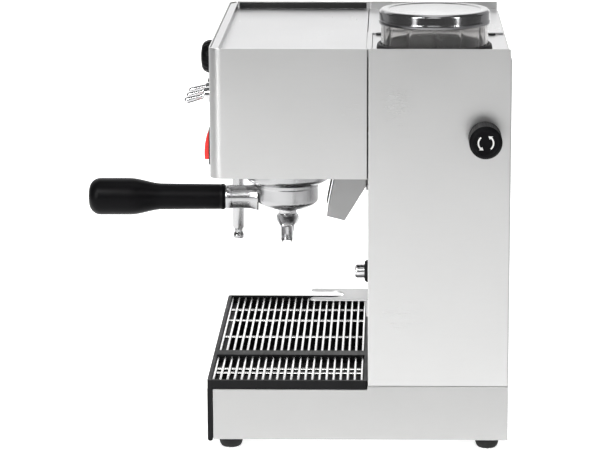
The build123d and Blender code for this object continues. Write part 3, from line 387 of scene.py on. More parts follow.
def box_into(bm, low, high, bevel=0.0, segments=2):
    """A box between two corners, with its edges eased."""
    before = set(bm.verts)
    bmesh.ops.create_cube(bm, size=1.0)
    verts = [v for v in bm.verts if v not in before]
    scale, centre = Vector(high) - Vector(low), (Vector(low) + Vector(high)) / 2
    for vert in verts:
        vert.co = Vector((vert.co.x * scale.x, vert.co.y * scale.y, vert.co.z * scale.z)) + centre
    if bevel:
        edges = list({e for vert in verts for e in vert.link_edges})
        bmesh.ops.bevel(bm, geom=edges, offset=bevel, offset_type="OFFSET", segments=segments,
                        profile=0.5, affect="EDGES", clamp_overlap=True)


def tube_into(bm, path, radius, segments=12):
    """A round bar through the points of a path, closed at both ends."""
    rows = []
    for i, point in enumerate(path):
        ahead = path[min(i + 1, len(path) - 1)] - path[max(i - 1, 0)]
        u, v = frame_of(ahead.normalized())
        rows.append([bm.verts.new(point + (u * math.cos(a) + v * math.sin(a)) * radius)
                     for a in (2 * math.pi * k / segments for k in range(segments))])
    for low, high in zip(rows, rows[1:]):
        for i in range(segments):
            j = (i + 1) % segments
            bm.faces.new((low[i], low[j], high[j], high[i]))
    bm.faces.new(rows[0][::-1])
    bm.faces.new(rows[-1])


# ---------------------------------------------------------------- sheet metal and casings
SHEETS = (
    ("head_shell", steel_side, "panel_steel", 0.0005),
    ("column_front", steel_across, "panel_steel", 0.0003),
    ("head_floor", steel_across, "panel_steel", 0.0003),
    ("cup_tray", steel_top_painted_shade, "panel_steel", 0.0005),
    ("top_deck", steel_top_painted_shade, "panel_steel", 0.0003),
    ("tank_lid", steel_top_painted_shade, "panel_steel", 0.0004),
    ("base_housing", steel_base, "base_steel", 0.0005),
    ("back_panel", steel_base, "back_paint", 0.0003),
    ("inner_frame", steel_inner, "steel_parts", 0.0002),
    ("grind_chute", steel_chute_painted_shade, "base_steel", 0.0004),
    ("chute_flap", black, "black_plastic", 0.0002),
    ("portafilter_fork", steel_fittings, "steel_parts", 0.0004),
    ("drip_tray", black, "black_plastic", 0.0007),
    ("rocker_frame", black, "black_plastic", 0.0003),
    ("mains_inlet", black, "black_plastic", 0.0004),
)
body_of_node = {n: b for b, nodes in frame["record"]["behaviour"]["bodies"].items() for n in nodes}
for sheet_name, sheet_material, sheet_slot, edge in SHEETS:
    sheet_piece(sheet_name, sheet_material, edge, body_of_node[sheet_name])
for panel_name in ("right_side_panel", "left_side_panel"):
    sheet_piece(panel_name, steel_side, 0.0004, "root", 0.0018)


def build_head_seals():
    """The thin black seal down each joint between head and column."""
    low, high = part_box("head_shell")
    wide = 0.75 * MM
    bm = bmesh.new()
    for x_low, x_high in ((low.x + 0.05 * MM, low.x + 0.9 * MM), (high.x - 0.8 * MM, high.x + 0.04 * MM)):
        box_into(bm, (x_low, high.y - wide, low.z + 0.5 * MM),
                 (x_high, high.y + 0.1 * MM, high.z - 0.4 * MM), 0.03 * MM)
    add_piece("head_seals", mesh_from(bm, "head_seals"), rubber, "root", ())


def build_recess_shade_strip():
    """A dark rubber strip on the cup recess's left wall: painted shade on the wall's inner face."""
    low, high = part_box("cup_tray")
    wall, thick = low.x + 0.05 * MM, 0.35 * MM
    back_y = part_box("head_shell")[1].y - 4 * MM
    bm = bmesh.new()
    box_into(bm, (wall, low.y + 8.5 * MM, low.z + 1.25 * MM),
             (wall + thick, back_y, high.z - 0.35 * MM), 0.1 * MM)
    add_piece("recess_painted_shade", mesh_from(bm, "recess_painted_shade"), rubber, "root", ())


build_head_seals()
build_recess_shade_strip()


# ---------------------------------------------------------------- feet
def build_feet():
    """Four moulded rubber feet with a rounded tread and a washer recess."""
    low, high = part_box("feet")
    radius = 10.75 * MM
    height = high.z - low.z
    bm = bmesh.new()
    for x in (low.x + radius, high.x - radius):
        for y in (low.y + radius, high.y - radius):
            outline = [(0, 1.2 * MM), (3.6 * MM, 1.2 * MM), (4.2 * MM, 0), (7.0 * MM, 0),
                       (9.2 * MM, 1.4 * MM), (10.4 * MM, 4.2 * MM), (radius, 8.0 * MM),
                       (radius, height), (0, height)]
            lathe(bm, rounded(outline, 1.2 * MM), Vector((x, y, 0)), Z, 64)
    add_piece("rubber_feet", mesh_from(bm, "rubber_feet"), rubber, "root", ("feet",))


build_feet()


# ---------------------------------------------------------------- drain grids
ROD_PLACES = {"left_grid": (-130 * MM, -87 * MM, -23 * MM), "right_grid": (94 * MM, 108 * MM)}
BARS, BAR_RADIUS, BAR_EDGE, ROD_RADIUS = 22, 1.1 * MM, 0.75 * MM, 1.5 * MM


def build_grid(node_name):
    """Welded wire: bars across the tray on top of a few rods."""
    low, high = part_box(node_name)
    pitch = (high.y - low.y - 2 * BAR_RADIUS) / (BARS - 1)
    bm = bmesh.new()
    for i in range(BARS):
        y = low.y + BAR_RADIUS + i * pitch
        z = high.z - BAR_RADIUS
        box_into(bm, (low.x, y - BAR_RADIUS, z - BAR_RADIUS), (high.x, y + BAR_RADIUS, z + BAR_RADIUS),
                 BAR_EDGE, 3)
    for x in ROD_PLACES[node_name]:
        z = low.z + ROD_RADIUS
        tube_into(bm, [Vector((x, low.y + 0.4 * MM, z)), Vector((x, high.y - 0.4 * MM, z))], ROD_RADIUS)
    add_piece(node_name + "_wire", mesh_from(bm, node_name), wire, body_of_node[node_name],
              (node_name,))


for grid_name in ROD_PLACES:
    build_grid(grid_name)


# ---------------------------------------------------------------- brew group and portafilter
group = middle("group_gasket")
group_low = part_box("group_head")[0].z
group_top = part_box("head_floor")[0].z
group_origin = Vector((group.x, group.y, group_low))


def build_group():
    """The group's ring: a lip under the lugs' seat, a chamfered foot and a groove round it."""
    reach = (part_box("group_head")[1].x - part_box("group_head")[0].x) / 2
    top = group_top - group_low
    seat, seat_top, lip_top = 35.9 * MM, 25 * MM, 4.7 * MM
    outline = [(0, seat_top), (seat, seat_top), (seat, lip_top), (31.4 * MM, lip_top),
               (31.2 * MM, 0.4 * MM), (34.0 * MM, 0), (reach - 1.4 * MM, 3.4 * MM), (reach, 5.6 * MM),
               (reach, 13 * MM), (reach - 0.5 * MM, 13.5 * MM), (reach - 0.5 * MM, 14.3 * MM),
               (reach, 14.8 * MM), (reach, top), (0, top)]
    turned("group_ring", outline, group_origin, Z, group_chrome_painted_shade, "root", ("group_head",),
           128)


build_group()

bowl_low, bowl_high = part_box("portafilter_body")
bowl_origin = Vector((group.x, group.y, bowl_low.z))
handle_low, handle_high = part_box("portafilter_handle")
handle_axis_z = (handle_low.z + handle_high.z) / 2
handle_origin = Vector((group.x, group.y, handle_axis_z))
handle_start = group.y - handle_high.y
handle_end = group.y - handle_low.y


def build_portafilter():
    """Bowl with its lugs, and the chrome neck that flares into it."""
    height = bowl_high.z - bowl_low.z
    lug_inside, lug_outside, lug_half_width = 27.5 * MM, 34.2 * MM, 9 * MM
    lug_low, lug_high = group_low + 5.2 * MM, group_low + 9.6 * MM
    bm = bmesh.new()
    outline = [(4 * MM, 0), (9.5 * MM, 0), (14 * MM, 0.8 * MM), (22 * MM, 3.0 * MM),
               (27.6 * MM, 6.4 * MM), (29.3 * MM, 8.4 * MM), (29.5 * MM, 11 * MM), (29.5 * MM, 22 * MM),
               (30 * MM, 23 * MM), (30 * MM, height), (27.4 * MM, height), (27.4 * MM, 8 * MM),
               (4 * MM, 6 * MM), (4 * MM, 0)]
    lathe(bm, rounded(outline, 1.2 * MM, 4), bowl_origin, Z, 128)
    for x_low, x_high in ((-lug_outside, -lug_inside), (lug_inside, lug_outside)):
        box_into(bm, (group.x + x_low, group.y - lug_half_width, lug_low),
                 (group.x + x_high, group.y + lug_half_width, lug_high), 0.8 * MM)
    neck = [(0, 27.6 * MM), (13.6 * MM, 27.6 * MM), (12.4 * MM, 31 * MM), (11.4 * MM, 36 * MM),
            (11.2 * MM, 44 * MM), (11.2 * MM, 53 * MM), (11.5 * MM, 54 * MM),
            (11.5 * MM, handle_start), (0, handle_start)]
    lathe(bm, rounded(neck, 2 * MM, 4), handle_origin, FRONT, 64)
    add_piece("portafilter_metal", mesh_from(bm, "portafilter_metal", 40), group_chrome_painted_shade, "portafilter",
              ("portafilter_body",))


build_portafilter()


def build_handle():
    """One smooth black moulding: ferrule, grip, waist and rounded end."""
    grip, nose = 12.5 * MM, 11 * MM
    bulb = (handle_high.z - handle_low.z) / 2
    points = [(0, handle_start), (11.4 * MM, handle_start), (grip, handle_start + 1.5 * MM),
              (grip, handle_start + 3.2 * MM), (11.9 * MM, handle_start + 4.0 * MM)]
    waist, swell = handle_start + 60 * MM, handle_start + 92 * MM
    for i in range(7):
        t = i / 6
        points.append(((12.0 + 0.5 * t) * MM, handle_start + 5 * MM + t * (waist - handle_start - 5 * MM)))
    for i in range(1, 17):
        t = i / 16
        ease = t * t * (3 - 2 * t)
        points.append((grip + (bulb - grip) * ease, waist + t * (swell - waist)))
    flat = handle_end - nose
    points.append((bulb, flat))
    for i in range(1, 15):
        a = math.radians(90 * i / 14)
        points.append((bulb - nose + nose * math.cos(a), flat + nose * math.sin(a)))
    points.append((0, handle_end))
    bm = bmesh.new()
    lathe(bm, points, handle_origin, FRONT, 96)
    add_piece("handle_grip", mesh_from(bm, "handle_grip", 50), grip_black, "portafilter",
              ("portafilter_handle",))


build_handle()


def build_spout():
    """A round boss that splits into two arms, each ending in a gutter open to the outside."""
    low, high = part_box("portafilter_spout")
    bm = bmesh.new()
    top = high.z
    origin = Vector((group.x, group.y, 0))
    boss = [(4 * MM, top), (10 * MM, top), (10 * MM, top - 3 * MM), (8.6 * MM, top - 4 * MM),
            (8.6 * MM, top - 8 * MM), (4 * MM, top - 8 * MM), (4 * MM, top)]
    lathe(bm, rounded(boss, 0.6 * MM), origin, Z, 48)
    channel, channel_height = 6 * MM, 15.6 * MM
    outlet = (high.x - low.x) / 2 - channel
    half_width = (high.y - low.y) / 2
    arm_end, arm_start = low.z + 15 * MM, top - 13 * MM
    steps, around = 12, 28
    for side in (-1, 1):
        rows = []
        for i in range(steps + 1):
            t = i / steps
            angle = math.radians(90 * t)
            centre = Vector((group.x + side * outlet * math.sin(angle), group.y,
                             arm_end + (arm_start - arm_end) * math.cos(angle)))
            along = Vector((side * math.cos(angle), 0, -math.sin(angle)))
            out = Vector((along.z * -side, 0, along.x * side))
            wide = half_width * (1 - 0.42 * t)
            deep = (6.4 - 0.9 * t) * MM
            row = []
            for k in range(around):
                a = 2 * math.pi * k / around
                c, s = math.cos(a), math.sin(a)
                squared = (abs(c) ** 3 + abs(s) ** 3) ** (-1 / 3)
                row.append(bm.verts.new(centre + Y * wide * c * squared + out * deep * s * squared))
            rows.append(row)
        for low_row, high_row in zip(rows, rows[1:]):
            for k in range(around):
                m = (k + 1) % around
                bm.faces.new((low_row[k], low_row[m], high_row[m], high_row[k]))
        bm.faces.new(rows[0][::-1])
        bm.faces.new(rows[-1])
        gutter(bm, group.x + side * outlet, side, low.z, low.z + channel_height, channel)
    add_piece("double_spout", mesh_from(bm, "double_spout", 40), turned_chrome, "portafilter",
              ("portafilter_spout",))


def gutter(bm, x, side, low_z, high_z, reach):
    """An upright U-shaped channel whose open side faces outwards."""
    wall = 1.3 * MM
    section = []
    for i in range(13):
        a = math.radians(90 + 180 * i / 12)
        section.append((reach * math.cos(a), reach * math.sin(a)))
    section = [(reach * 0.85, reach)] + section + [(reach * 0.85, -reach)]
    inner = [(u, v * (reach - wall) / reach) if u > 0 else
             (u * (reach - wall) / reach, v * (reach - wall) / reach) for u, v in section]
    loop = section + inner[::-1]
    rows = []
    for z, pull in ((low_z, 0.80), (low_z + 3 * MM, 0.92), (low_z + 8 * MM, 1.0), (high_z, 1.0)):
        rows.append([bm.verts.new(Vector((x + side * u * pull, group.y + v * pull, z)))
                     for u, v in loop])
    count = len(loop)
    for low_row, high_row in zip(rows, rows[1:]):
        for k in range(count):
            m = (k + 1) % count
            bm.faces.new((low_row[k], low_row[m], high_row[m], high_row[k]))
    half = len(section)
    for row in (rows[0], rows[-1]):
        for k in range(half - 1):
            bm.faces.new((row[k], row[k + 1], row[count - 2 - k], row[count - 1 - k]))


build_spout()

# ---------------------------------------------------------------- steam wand
wand_low, wand_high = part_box("steam_wand")
wand_origin = Vector((middle("steam_wand").x, middle("steam_wand").y, 0))
BALL_RADIUS, TUBE_RADIUS = 7 * MM, 5.8 * MM
ball_z = wand_high.z - BALL_RADIUS


def build_wand():
    """The wand's tube below its ball joint, and the flared tip."""
    bm = bmesh.new()
    tube = [(0, wand_low.z), (5.2 * MM, wand_low.z), (TUBE_RADIUS, wand_low.z + 0.8 * MM),
            (TUBE_RADIUS, ball_z - 13 * MM), (5.2 * MM, ball_z - 11.6 * MM), (3.3 * MM, ball_z - 11 * MM),
            (3.3 * MM, ball_z - 6.1 * MM)]
    ball = [(BALL_RADIUS * math.sin(math.radians(a)), ball_z - BALL_RADIUS * math.cos(math.radians(a)))
            for a in range(30, 181, 10)]
    lathe(bm, rounded(tube, 0.5 * MM) + ball, wand_origin, Z, 64)
    add_piece("wand_tube", mesh_from(bm, "wand_tube", 40), turned_chrome, "wand", ("steam_wand",))
    tip_low, tip_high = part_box("steam_nozzle")
    tip = [(0, tip_low.z + 1.2 * MM), (0.9 * MM, tip_low.z), (4.9 * MM, tip_low.z),
           (5.5 * MM, tip_low.z + 0.9 * MM), (5.3 * MM, tip_low.z + 3.6 * MM),
           (4.2 * MM, tip_low.z + 6.4 * MM), (4.2 * MM, tip_high.z), (0, tip_high.z)]
    turned("wand_tip", tip, wand_origin, Z, turned_chrome, "wand", ("steam_nozzle",), 48)


build_wand()


def build_wand_socket():
    """A six-sided gland nut with a turned lip."""
    low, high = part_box("wand_socket")
    across = (high.x - low.x) / 2
    bm = bmesh.new()

    def hexagon(angle, radius, height):
        sector = (angle % math.radians(60)) - math.radians(30)
        flat = across * math.cos(math.radians(30)) / math.cos(sector)
        return min(radius, flat) if radius > 8 * MM else radius

    outline = [(6.2 * MM, low.z + 3 * MM), (6.1 * MM, low.z), (9.0 * MM, low.z), (across, low.z + 1.5 * MM),
               (across, high.z), (3.0 * MM, high.z), (3.0 * MM, high.z - 1 * MM)]
    lathe(bm, rounded(outline, 0.4 * MM), wand_origin, Z, 96, hexagon)
    add_piece("wand_nut", mesh_from(bm, "wand_nut", 25), chrome, "root", ("wand_socket",))


build_wand_socket()

# ---------------------------------------------------------------- front controls
front_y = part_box("head_shell")[0].y


def build_steam_knob():
    """A black fluted knob with a domed cap."""
    low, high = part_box("steam_knob")
    origin = Vector((middle("steam_knob").x, front_y, middle("steam_knob").z))
    radius, reach = (high.x - low.x) / 2, front_y - low.y

    def flutes(angle, r, h):
        if r < radius - 2.6 * MM or h < 4 * MM:
            return r
        return r - 0.5 * MM * (0.5 + 0.5 * math.cos(18 * angle)) ** 2

    outline = [(0, -20 * MM), (4 * MM, -20 * MM), (4 * MM, 3.4 * MM), (radius - 4 * MM, 3.4 * MM),
               (radius, 6 * MM), (radius, 12 * MM), (radius, reach - 7 * MM),
               (radius - 2 * MM, reach - 3 * MM), (radius - 5 * MM, reach - 1.0 * MM),
               (5 * MM, reach), (0, reach)]
    turned("steam_tap_knob", outline, origin, FRONT, grip_black, "steam_tap", ("steam_knob",),
           144, flutes, 1.2 * MM, 50)


build_steam_knob()


BATON_BALL, BATON_DROOP = 4.4 * MM, 15


def build_levers():
    """Polished baton levers, each in its threaded collar, with a plain switch body behind."""
    tip, tip_start = 2.9 * MM, 21.6 * MM
    toggles = (("steam_lever", "steam_toggle"), ("water_lever", "water_toggle"),
               ("brew_lever", "brew_toggle"))
    collars = bmesh.new()
    bodies = bmesh.new()
    for node_name, body in toggles:
        low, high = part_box(node_name)
        pivot = Vector(((low.x + high.x) / 2, high.y - BATON_BALL, high.z - BATON_BALL))
        droop = math.radians(BATON_DROOP)
        axis = Vector((0, -math.cos(droop), -math.sin(droop)))
        outline = [(BATON_BALL * math.sin(math.radians(a)), -BATON_BALL * math.cos(math.radians(a)))
                   for a in range(0, 141, 14)]
        outline += [(2.2 * MM, 5 * MM), (2.35 * MM, 9 * MM), (2.85 * MM, 19 * MM), (tip, tip_start)]
        outline += [(tip * math.cos(math.radians(a)), tip_start + tip * math.sin(math.radians(a)))
                    for a in range(15, 91, 15)]
        outline[-1] = (0, 24.5 * MM)
        bm = bmesh.new()
        lathe(bm, outline, pivot, axis, 48)
        add_piece(node_name + "_baton", mesh_from(bm, node_name, 50), chrome, body, (node_name,))
        origin = Vector((pivot.x, front_y, pivot.z))
        collar = [(4.75 * MM, -1 * MM), (8.5 * MM, 0), (8.5 * MM, 1.6 * MM), (7.9 * MM, 2.0 * MM),
                  (7.9 * MM, 3.0 * MM), (7.0 * MM, 3.4 * MM), (6.4 * MM, 8.2 * MM), (5.8 * MM, 9 * MM),
                  (4.75 * MM, 9 * MM), (4.75 * MM, -1 * MM)]
        lathe(collars, rounded(collar, 0.3 * MM), origin, FRONT, 64)
        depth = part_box("lever_switches")[1].y
        box_into(bodies, (pivot.x - 7.5 * MM, front_y + 1.2 * MM, pivot.z - 10 * MM),
                 (pivot.x + 7.5 * MM, depth, pivot.z + 10 * MM), 0.8 * MM)
    add_piece("lever_collars", mesh_from(collars, "lever_collars"), chrome, "root",
              ("lever_switches",))
    add_piece("switch_bodies", mesh_from(bodies, "switch_bodies"), enamel, "root", ())


build_levers()


def build_rocker():
    """The red cap keeps its CAD outline, with softened corners."""
    add_piece("rocker_cap", softened("power_rocker", 0.9 * MM, 3), red_lit, "mains_rocker",
              ("power_rocker",))


build_rocker()


def build_gauge():
    """Chrome case, white dial with plain marks, needle and glass."""
    origin = Vector((middle("gauge_glass").x, front_y, middle("gauge_glass").z))
    bore = (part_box("gauge_glass")[1].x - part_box("gauge_glass")[0].x) / 2
    case = [(0, -15 * MM), (bore + 1.5 * MM, -15 * MM), (bore + 1.5 * MM, 0), (bore + 6.4 * MM, 0),
            (bore + 6.4 * MM, 1.4 * MM), (bore + 4.4 * MM, 3.4 * MM), (bore + 1.6 * MM, 4 * MM),
            (bore + 0.1 * MM, 3.2 * MM), (bore + 0.1 * MM, -5 * MM), (0, -5.4 * MM)]
    turned("gauge_rim", case, origin, FRONT, chrome, "root", ("gauge_case",), 96)
    face = [(0, -5.2 * MM), (bore - 0.2 * MM, -5.2 * MM), (bore - 0.2 * MM, -4.7 * MM), (0, -4.7 * MM)]
    turned("gauge_face", face, origin, FRONT, dial_white, "root", (), 96)
    marks = bmesh.new()
    for i in range(0, 33):
        angle = math.radians(220 - 260 * i / 32)
        long = i % 4 == 0
        along = Vector((math.cos(angle), 0, math.sin(angle)))
        across = Vector((-along.z, 0, along.x))
        inner, outer = bore - (5.2 if long else 3.6) * MM, bore - 1.8 * MM
        half = (0.5 if long else 0.22) * MM
        corners = [origin - FRONT * 4.6 * MM + along * r + across * w
                   for r, w in ((inner, -half), (outer, -half), (outer, half), (inner, half))]
        back = [marks.verts.new(c - FRONT * 0.1 * MM) for c in corners]
        top = [marks.verts.new(c + FRONT * 0.05 * MM) for c in corners]
        marks.faces.new(top)
        marks.faces.new(back[::-1])
        for k in range(4):
            m = (k + 1) % 4
            marks.faces.new((back[k], back[m], top[m], top[k]))
    add_piece("gauge_marks", mesh_from(marks, "gauge_marks"), powder_black, "root", ())
    add_piece("gauge_pointer", softened("gauge_needle", 0.1 * MM, 1), powder_black, "needle",
              ("gauge_needle",))
    glass = [(0, 1.0 * MM), (bore, 1.0 * MM), (bore, 2.2 * MM), (0, 2.5 * MM)]
    turned("gauge_lens", glass, origin, FRONT, dial_glass, "root", ("gauge_glass",), 96)


build_gauge()

# ---------------------------------------------------------------- grinder side
def arrow_into(bm, centre, radius, start, turn, width, lift):
    """A flat curved arrow on the knob's face, which points along +X."""
    steps = 14
    rows = []
    for i in range(steps + 1):
        angle = start + turn * i / steps
        along = Vector((0, math.cos(angle), math.sin(angle)))
        rows.append([centre + X * lift + along * (radius + s * width / 2) for s in (-1, 1)])
    for low, high in zip(rows, rows[1:]):
        bm.faces.new([bm.verts.new(p) for p in (low[0], low[1], high[1], high[0])])
    tip_angle = start + turn * 1.28
    tip = centre + X * lift + Vector((0, math.cos(tip_angle), math.sin(tip_angle))) * radius
    angle = start + turn
    along = Vector((0, math.cos(angle), math.sin(angle)))
    wings = [centre + X * lift + along * (radius + s * width * 1.5) for s in (-1, 1)]
    bm.faces.new([bm.verts.new(p) for p in (wings[0], wings[1], tip)])


def build_grind_knob():
    """A black knob with a fine knurl round its rim and two plain arrows on its face."""
    low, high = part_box("grind_knob")
    axis = middle("grind_knob")
    origin = Vector((low.x, axis.y, axis.z))
    radius, reach = (high.z - low.z) / 2, high.x - low.x

    def knurl(angle, r, h):
        if r < radius - 0.3 * MM or h < 2.0 * MM or h > reach - 3.2 * MM:
            return r
        return r - 0.45 * MM * (0.5 + 0.5 * math.cos(40 * angle))

    outline = [(3 * MM, 0), (radius - 1.2 * MM, 0), (radius, 1.2 * MM), (radius, 2.1 * MM),
               (radius, reach - 3.3 * MM), (radius, reach - 2.4 * MM), (radius - 2.2 * MM, reach - 0.3 * MM),
               (radius - 3.4 * MM, reach), (radius - 4.2 * MM, reach - 0.5 * MM), (0, reach - 0.5 * MM)]
    turned("adjust_knob", outline, origin, X, grip_black, "adjuster", ("grind_knob",),
           240, knurl, 0.4 * MM, 40)
    marks = bmesh.new()
    face = origin + X * (reach - 0.45 * MM)
    for half_turn in (0, math.pi):
        arrow_into(marks, face, 6.6 * MM, half_turn + math.radians(-50), math.radians(95), 1.3 * MM, 0)
    mesh = mesh_from(marks, "knob_arrows")
    add_piece("knob_arrows", mesh, mark_grey, "adjuster", ())


build_grind_knob()

hopper_low, hopper_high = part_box("hopper")
hopper_axis_at = Vector((middle("hopper").x, middle("hopper").y, 0))
deck_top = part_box("top_deck")[1].z


def build_hopper():
    """A clear bowl with shallow ribs inside, and a black lining in the funnel below the deck."""
    outer = (hopper_high.x - hopper_low.x) / 2
    inner = outer - 2.2 * MM
    rim = hopper_high.z

    def ribs(angle, r, h):
        if inner - 0.1 * MM < r < inner + 0.1 * MM and deck_top + 2 * MM < h < rim - 1.5 * MM:
            return r - 0.8 * MM * max(0.0, math.cos(12 * angle)) ** 24
        return r

    outline = [(20 * MM, hopper_low.z), (22 * MM, hopper_low.z), (22 * MM, hopper_low.z + 14 * MM),
               (outer - 0.4 * MM, deck_top - 2 * MM), (outer, deck_top + 1.0 * MM), (outer, rim - 0.8 * MM),
               (outer - 0.8 * MM, rim), (inner + 0.3 * MM, rim), (inner, rim - 1 * MM),
               (inner, rim - 12 * MM), (inner, deck_top + 6 * MM), (inner, deck_top + 1 * MM),
               (20 * MM, hopper_low.z + 16 * MM), (20 * MM, hopper_low.z)]
    bm = bmesh.new()
    lathe(bm, rounded(outline, 0.5 * MM), hopper_axis_at, Z, 192, ribs)
    add_piece("hopper_bowl", mesh_from(bm, "hopper_bowl"), smoky, "bean_hopper", ("hopper",))
    lining = bmesh.new()
    dark = [(20.5 * MM, hopper_low.z + 17 * MM), (inner - 1.2 * MM, deck_top + 2.5 * MM),
            (inner - 1.2 * MM, deck_top + 4.0 * MM), (inner - 2.0 * MM, deck_top + 4.0 * MM),
            (21.0 * MM, hopper_low.z + 18.6 * MM), (20.5 * MM, hopper_low.z + 17 * MM)]
    lathe(lining, rounded(dark, 0.3 * MM), hopper_axis_at, Z, 128)
    add_piece("hopper_liner", mesh_from(lining, "hopper_liner"), black, "bean_hopper", ())


build_hopper()


def build_collar():
    """The black ring round the hopper, with a sloping top edge."""
    low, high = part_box("hopper_collar")
    radius = (high.x - low.x) / 2
    outline = [(radius - 3.6 * MM, low.z), (radius, low.z), (radius, low.z + 1.0 * MM),
               (radius - 0.7 * MM, high.z - 0.8 * MM), (radius - 1.6 * MM, high.z),
               (radius - 3.6 * MM, high.z), (radius - 3.6 * MM, low.z)]
    turned("hopper_ring", outline, hopper_axis_at, Z, black, "root", ("hopper_collar",),
           160)


build_collar()


def build_hopper_lid():
    """A polished lid: a stepped skirt and a nearly flat top with a shallow dish."""
    low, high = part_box("hopper_lid")
    radius = (high.x - low.x) / 2
    top = high.z
    outline = [(0, top - 3 * MM), (radius - 1.9 * MM, top - 3 * MM), (radius - 1.7 * MM, low.z),
               (radius - 0.5 * MM, low.z), (radius, low.z + 0.5 * MM), (radius, low.z + 3.2 * MM),
               (radius - 0.5 * MM, low.z + 3.8 * MM), (radius - 0.5 * MM, top - 2.2 * MM),
               (radius - 2.2 * MM, top - 0.3 * MM), (radius - 4 * MM, top), (radius - 8 * MM, top - 0.2 * MM),
               (radius - 9 * MM, top - 0.9 * MM), (0, top - 0.6 * MM)]
    turned("hopper_cap", outline, hopper_axis_at, Z, lid_chrome_painted_shade, "hopper_cover", ("hopper_lid",),
           192)


build_hopper_lid()


def build_button():
    """The chrome dose button, its black flange, and the switch behind the panel."""
    low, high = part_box("grind_button")
    face_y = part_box("column_front")[0].y
    origin = Vector((middle("grind_button").x, face_y, middle("grind_button").z))
    radius, reach = (high.x - low.x) / 2, face_y - low.y
    outline = [(0, -1.8 * MM), (radius, -1.8 * MM), (radius, reach - 1.6 * MM),
               (radius - 0.5 * MM, reach - 0.6 * MM), (radius - 1.6 * MM, reach),
               (3.6 * MM, reach - 0.35 * MM), (0, reach - 0.6 * MM)]
    turned("dose_cap", outline, origin, FRONT, chrome, "dose_button", ("grind_button",), 64)
    bore = radius + 0.35 * MM
    flange = [(bore, -1 * MM), (10.3 * MM, -1 * MM), (10.3 * MM, 1.2 * MM), (9.2 * MM, 2.6 * MM),
              (8.4 * MM, 3.4 * MM), (bore, 3.4 * MM), (bore, -1 * MM)]
    nut = bmesh.new()
    lathe(nut, rounded(flange, 0.4 * MM), origin, FRONT, 64)
    switch_low, switch_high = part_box("grind_switch")
    box_into(nut, (switch_low.x + 1.5 * MM, face_y + 6.3 * MM, origin.z - 8.9 * MM),
             (switch_high.x - 1.5 * MM, switch_high.y, origin.z + 8.9 * MM), 0.6 * MM)
    add_piece("dose_switch", mesh_from(nut, "dose_switch"), black, "root", ("grind_switch",))


build_button()


def build_deck_screws():
    """Black pan heads on the deck's four screws, which keep their CAD shape below."""
    low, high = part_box("screws")
    radius, shank, depth = 3.2 * MM, 1.4 * MM, 5 * MM
    bm = bmesh.new()
    for x in (low.x + radius, high.x - radius):
        for y in (high.y - radius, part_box("cup_tray")[1].y + 2 * radius):
            head = [(0, deck_top - depth), (shank, deck_top - depth), (shank, deck_top),
                    (radius, deck_top), (3.0 * MM, deck_top + 0.8 * MM), (2.1 * MM, deck_top + 1.5 * MM),
                    (0, deck_top + 1.6 * MM)]
            lathe(bm, rounded(head, 0.2 * MM), Vector((x, y, 0)), Z, 32)
    add_piece("deck_screw_heads", mesh_from(bm, "deck_screw_heads"), powder_black, "root", ())


build_deck_screws()

# ---------------------------------------------------------------- nodes kept as they are
KEPT = {
    "filter_basket": steel_fittings, "group_gasket": rubber, "shower_screen": steel_fittings,
    "steam_valve": brass, "boiler_lower": brass, "boiler_upper": brass, "heating_element": copper,
    "solenoid_valve": enamel, "water_tank": tank_clear, "pump": enamel, "water_pipes": copper,
    "grinder_motor": enamel, "grinder_rotor": steel_inner, "grinder_housing": alloy,
    "inner_burr": steel_inner, "burr_carrier": alloy, "grind_worm": steel_fittings,
    "screws": powder_black,
}
for kept_name, kept_material in KEPT.items():
    kept_mesh = frame["nodes"][kept_name].data
    for index in range(len(kept_mesh.materials)):
        kept_mesh.materials[index] = kept_material


# ---------------------------------------------------------------- floor, light, camera
def sweep_painted_light():
    """Pale floor and wall with painted light: the sheet glows, brightest behind the machine and less towards
    the camera. Its colour falls off to grey far to the front and back as painted shade.
    """
    material, shader = new_material("sweep_painted_light")
    shader.inputs["Roughness"].default_value = 0.85
    split = node(material, "ShaderNodeSeparateXYZ")
    link(material, node(material, "ShaderNodeTexCoord").outputs["Object"], split.inputs["Vector"])
    painted_shade_reach = node(material, "ShaderNodeMath")
    painted_shade_reach.operation = "ABSOLUTE"
    link(material, split.outputs["Y"], painted_shade_reach.inputs[0])
    # Painted shade: the colour greys with distance to the front and back, so the chrome reflects a dark
    # surround there.
    painted_shade_tint = node(material, "ShaderNodeValToRGB")
    painted_shade_tint.color_ramp.elements[0].color = (0.88, 0.88, 0.88, 1)
    painted_shade_tint.color_ramp.elements[1].color = (0.42, 0.42, 0.424, 1)
    ramp_to(material, painted_shade_reach.outputs["Value"], painted_shade_tint.inputs["Fac"], 0, 1, (0.7, 1.5), "SMOOTHSTEP")
    link(material, painted_shade_tint.outputs["Color"], shader.inputs["Base Color"])
    # Painted light: the sheet glows in its own colour, strongest behind the machine, which washes out shadows
    # on the floor.
    link(material, painted_shade_tint.outputs["Color"], shader.inputs["Emission Color"])
    ramp_to(material, split.outputs["X"], shader.inputs["Emission Strength"], 0.9, 0.42,
            (-0.1, 0.6), "SMOOTHSTEP")
    return material


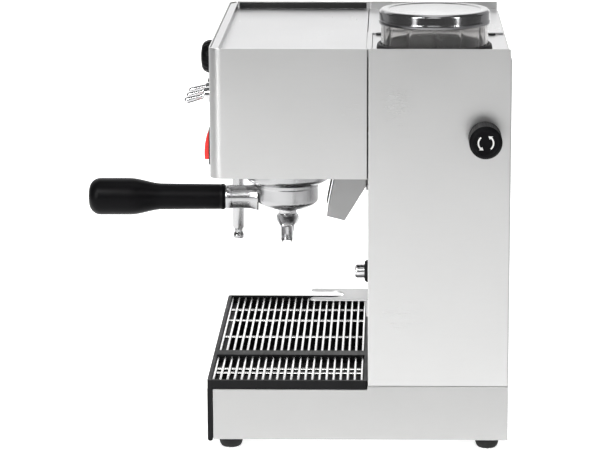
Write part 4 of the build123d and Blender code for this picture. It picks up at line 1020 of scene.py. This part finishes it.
def build_stage():
    """A pale sweep: floor and wall in one smooth sheet, joined by a quarter circle."""
    near, far, bend, top, half_width = -3.0, 1.6, 1.2, 4.0, 5.0
    profile = [(near, 0.0), (far, 0.0)]
    profile += [(far + bend * math.sin(math.radians(a)), bend - bend * math.cos(math.radians(a)))
                for a in range(10, 91, 10)]
    profile.append((far + bend, top))
    bm = bmesh.new()
    rows = [[bm.verts.new((-away, y, z)) for y in (-half_width, half_width)] for away, z in profile]
    for low, high in zip(rows, rows[1:]):
        bm.faces.new((low[0], low[1], high[1], high[0]))
    mesh = mesh_from(bm, "sweep", 60)
    floor = bpy.data.objects.new("sweep", mesh)
    bpy.context.scene.collection.objects.link(floor)
    mesh.materials.append(sweep_painted_light())


MACHINE = (0, 0, 0.2)
# name, place, target, width, height, power, spread in degrees
LIGHTS = (
    ("overhead", (0.1, 0.1, 2.6), (0, 0, 0), 1.4, 1.4, 9, 180),
    ("near_side", (3.4, 0.0, 2.4), (1.8, 0, 0), 1.6, 0.9, 31, 180),
    ("corner_pool", (1.25, -0.72, 1.5), (1.25, -0.72, 0), 0.4, 0.4, 17, 180),
    ("front_strip", (2.6, -2.2, 1.5), MACHINE, 0.5, 2.8, 9, 50),
    ("rear_strip", (2.3, 2.6, 1.5), MACHINE, 0.25, 2.8, 6, 50),
    ("left_soft", (-2.2, -1.2, 2.0), MACHINE, 1.2, 1.2, 5, 180),
)


def area_light(name, place, target, width, height, power, spread):
    data = bpy.data.lights.new(name, "AREA")
    data.shape = "RECTANGLE"
    data.size, data.size_y, data.energy = width, height, power
    data.spread = math.radians(spread)
    lamp = bpy.data.objects.new(name, data)
    bpy.context.scene.collection.objects.link(lamp)
    lamp.location = place
    lamp.rotation_euler = (Vector(target) - Vector(place)).to_track_quat("-Z", "Y").to_euler()


def build_world():
    """A dim, even surround."""
    world = bpy.data.worlds.new("studio")
    bpy.context.scene.world = world
    world.use_nodes = True
    surround = world.node_tree.nodes["Background"]
    surround.inputs["Color"].default_value = (1, 1, 1, 1)
    surround.inputs["Strength"].default_value = 0.15
    bpy.context.scene.view_settings.view_transform = "Standard"


def build_camera():
    """A long lens on the machine's right side, a little above its top."""
    tilt, swing = 0.2113, 0.0155
    data = bpy.data.cameras.new("camera")
    data.lens, data.sensor_width, data.shift_x, data.clip_end = 160.85, 36.0, -0.0835, 50.0
    camera = bpy.data.objects.new("camera", data)
    bpy.context.scene.collection.objects.link(camera)
    camera.location = (2.4676, 0.0923, 0.7066)
    look = Vector((-math.cos(swing) * math.cos(tilt), -math.sin(swing) * math.cos(tilt),
                   -math.sin(tilt)))
    camera.rotation_euler = look.to_track_quat("-Z", "Y").to_euler()
    bpy.context.scene.camera = camera


build_stage()
for light in LIGHTS:
    area_light(*light)
build_world()
build_camera()
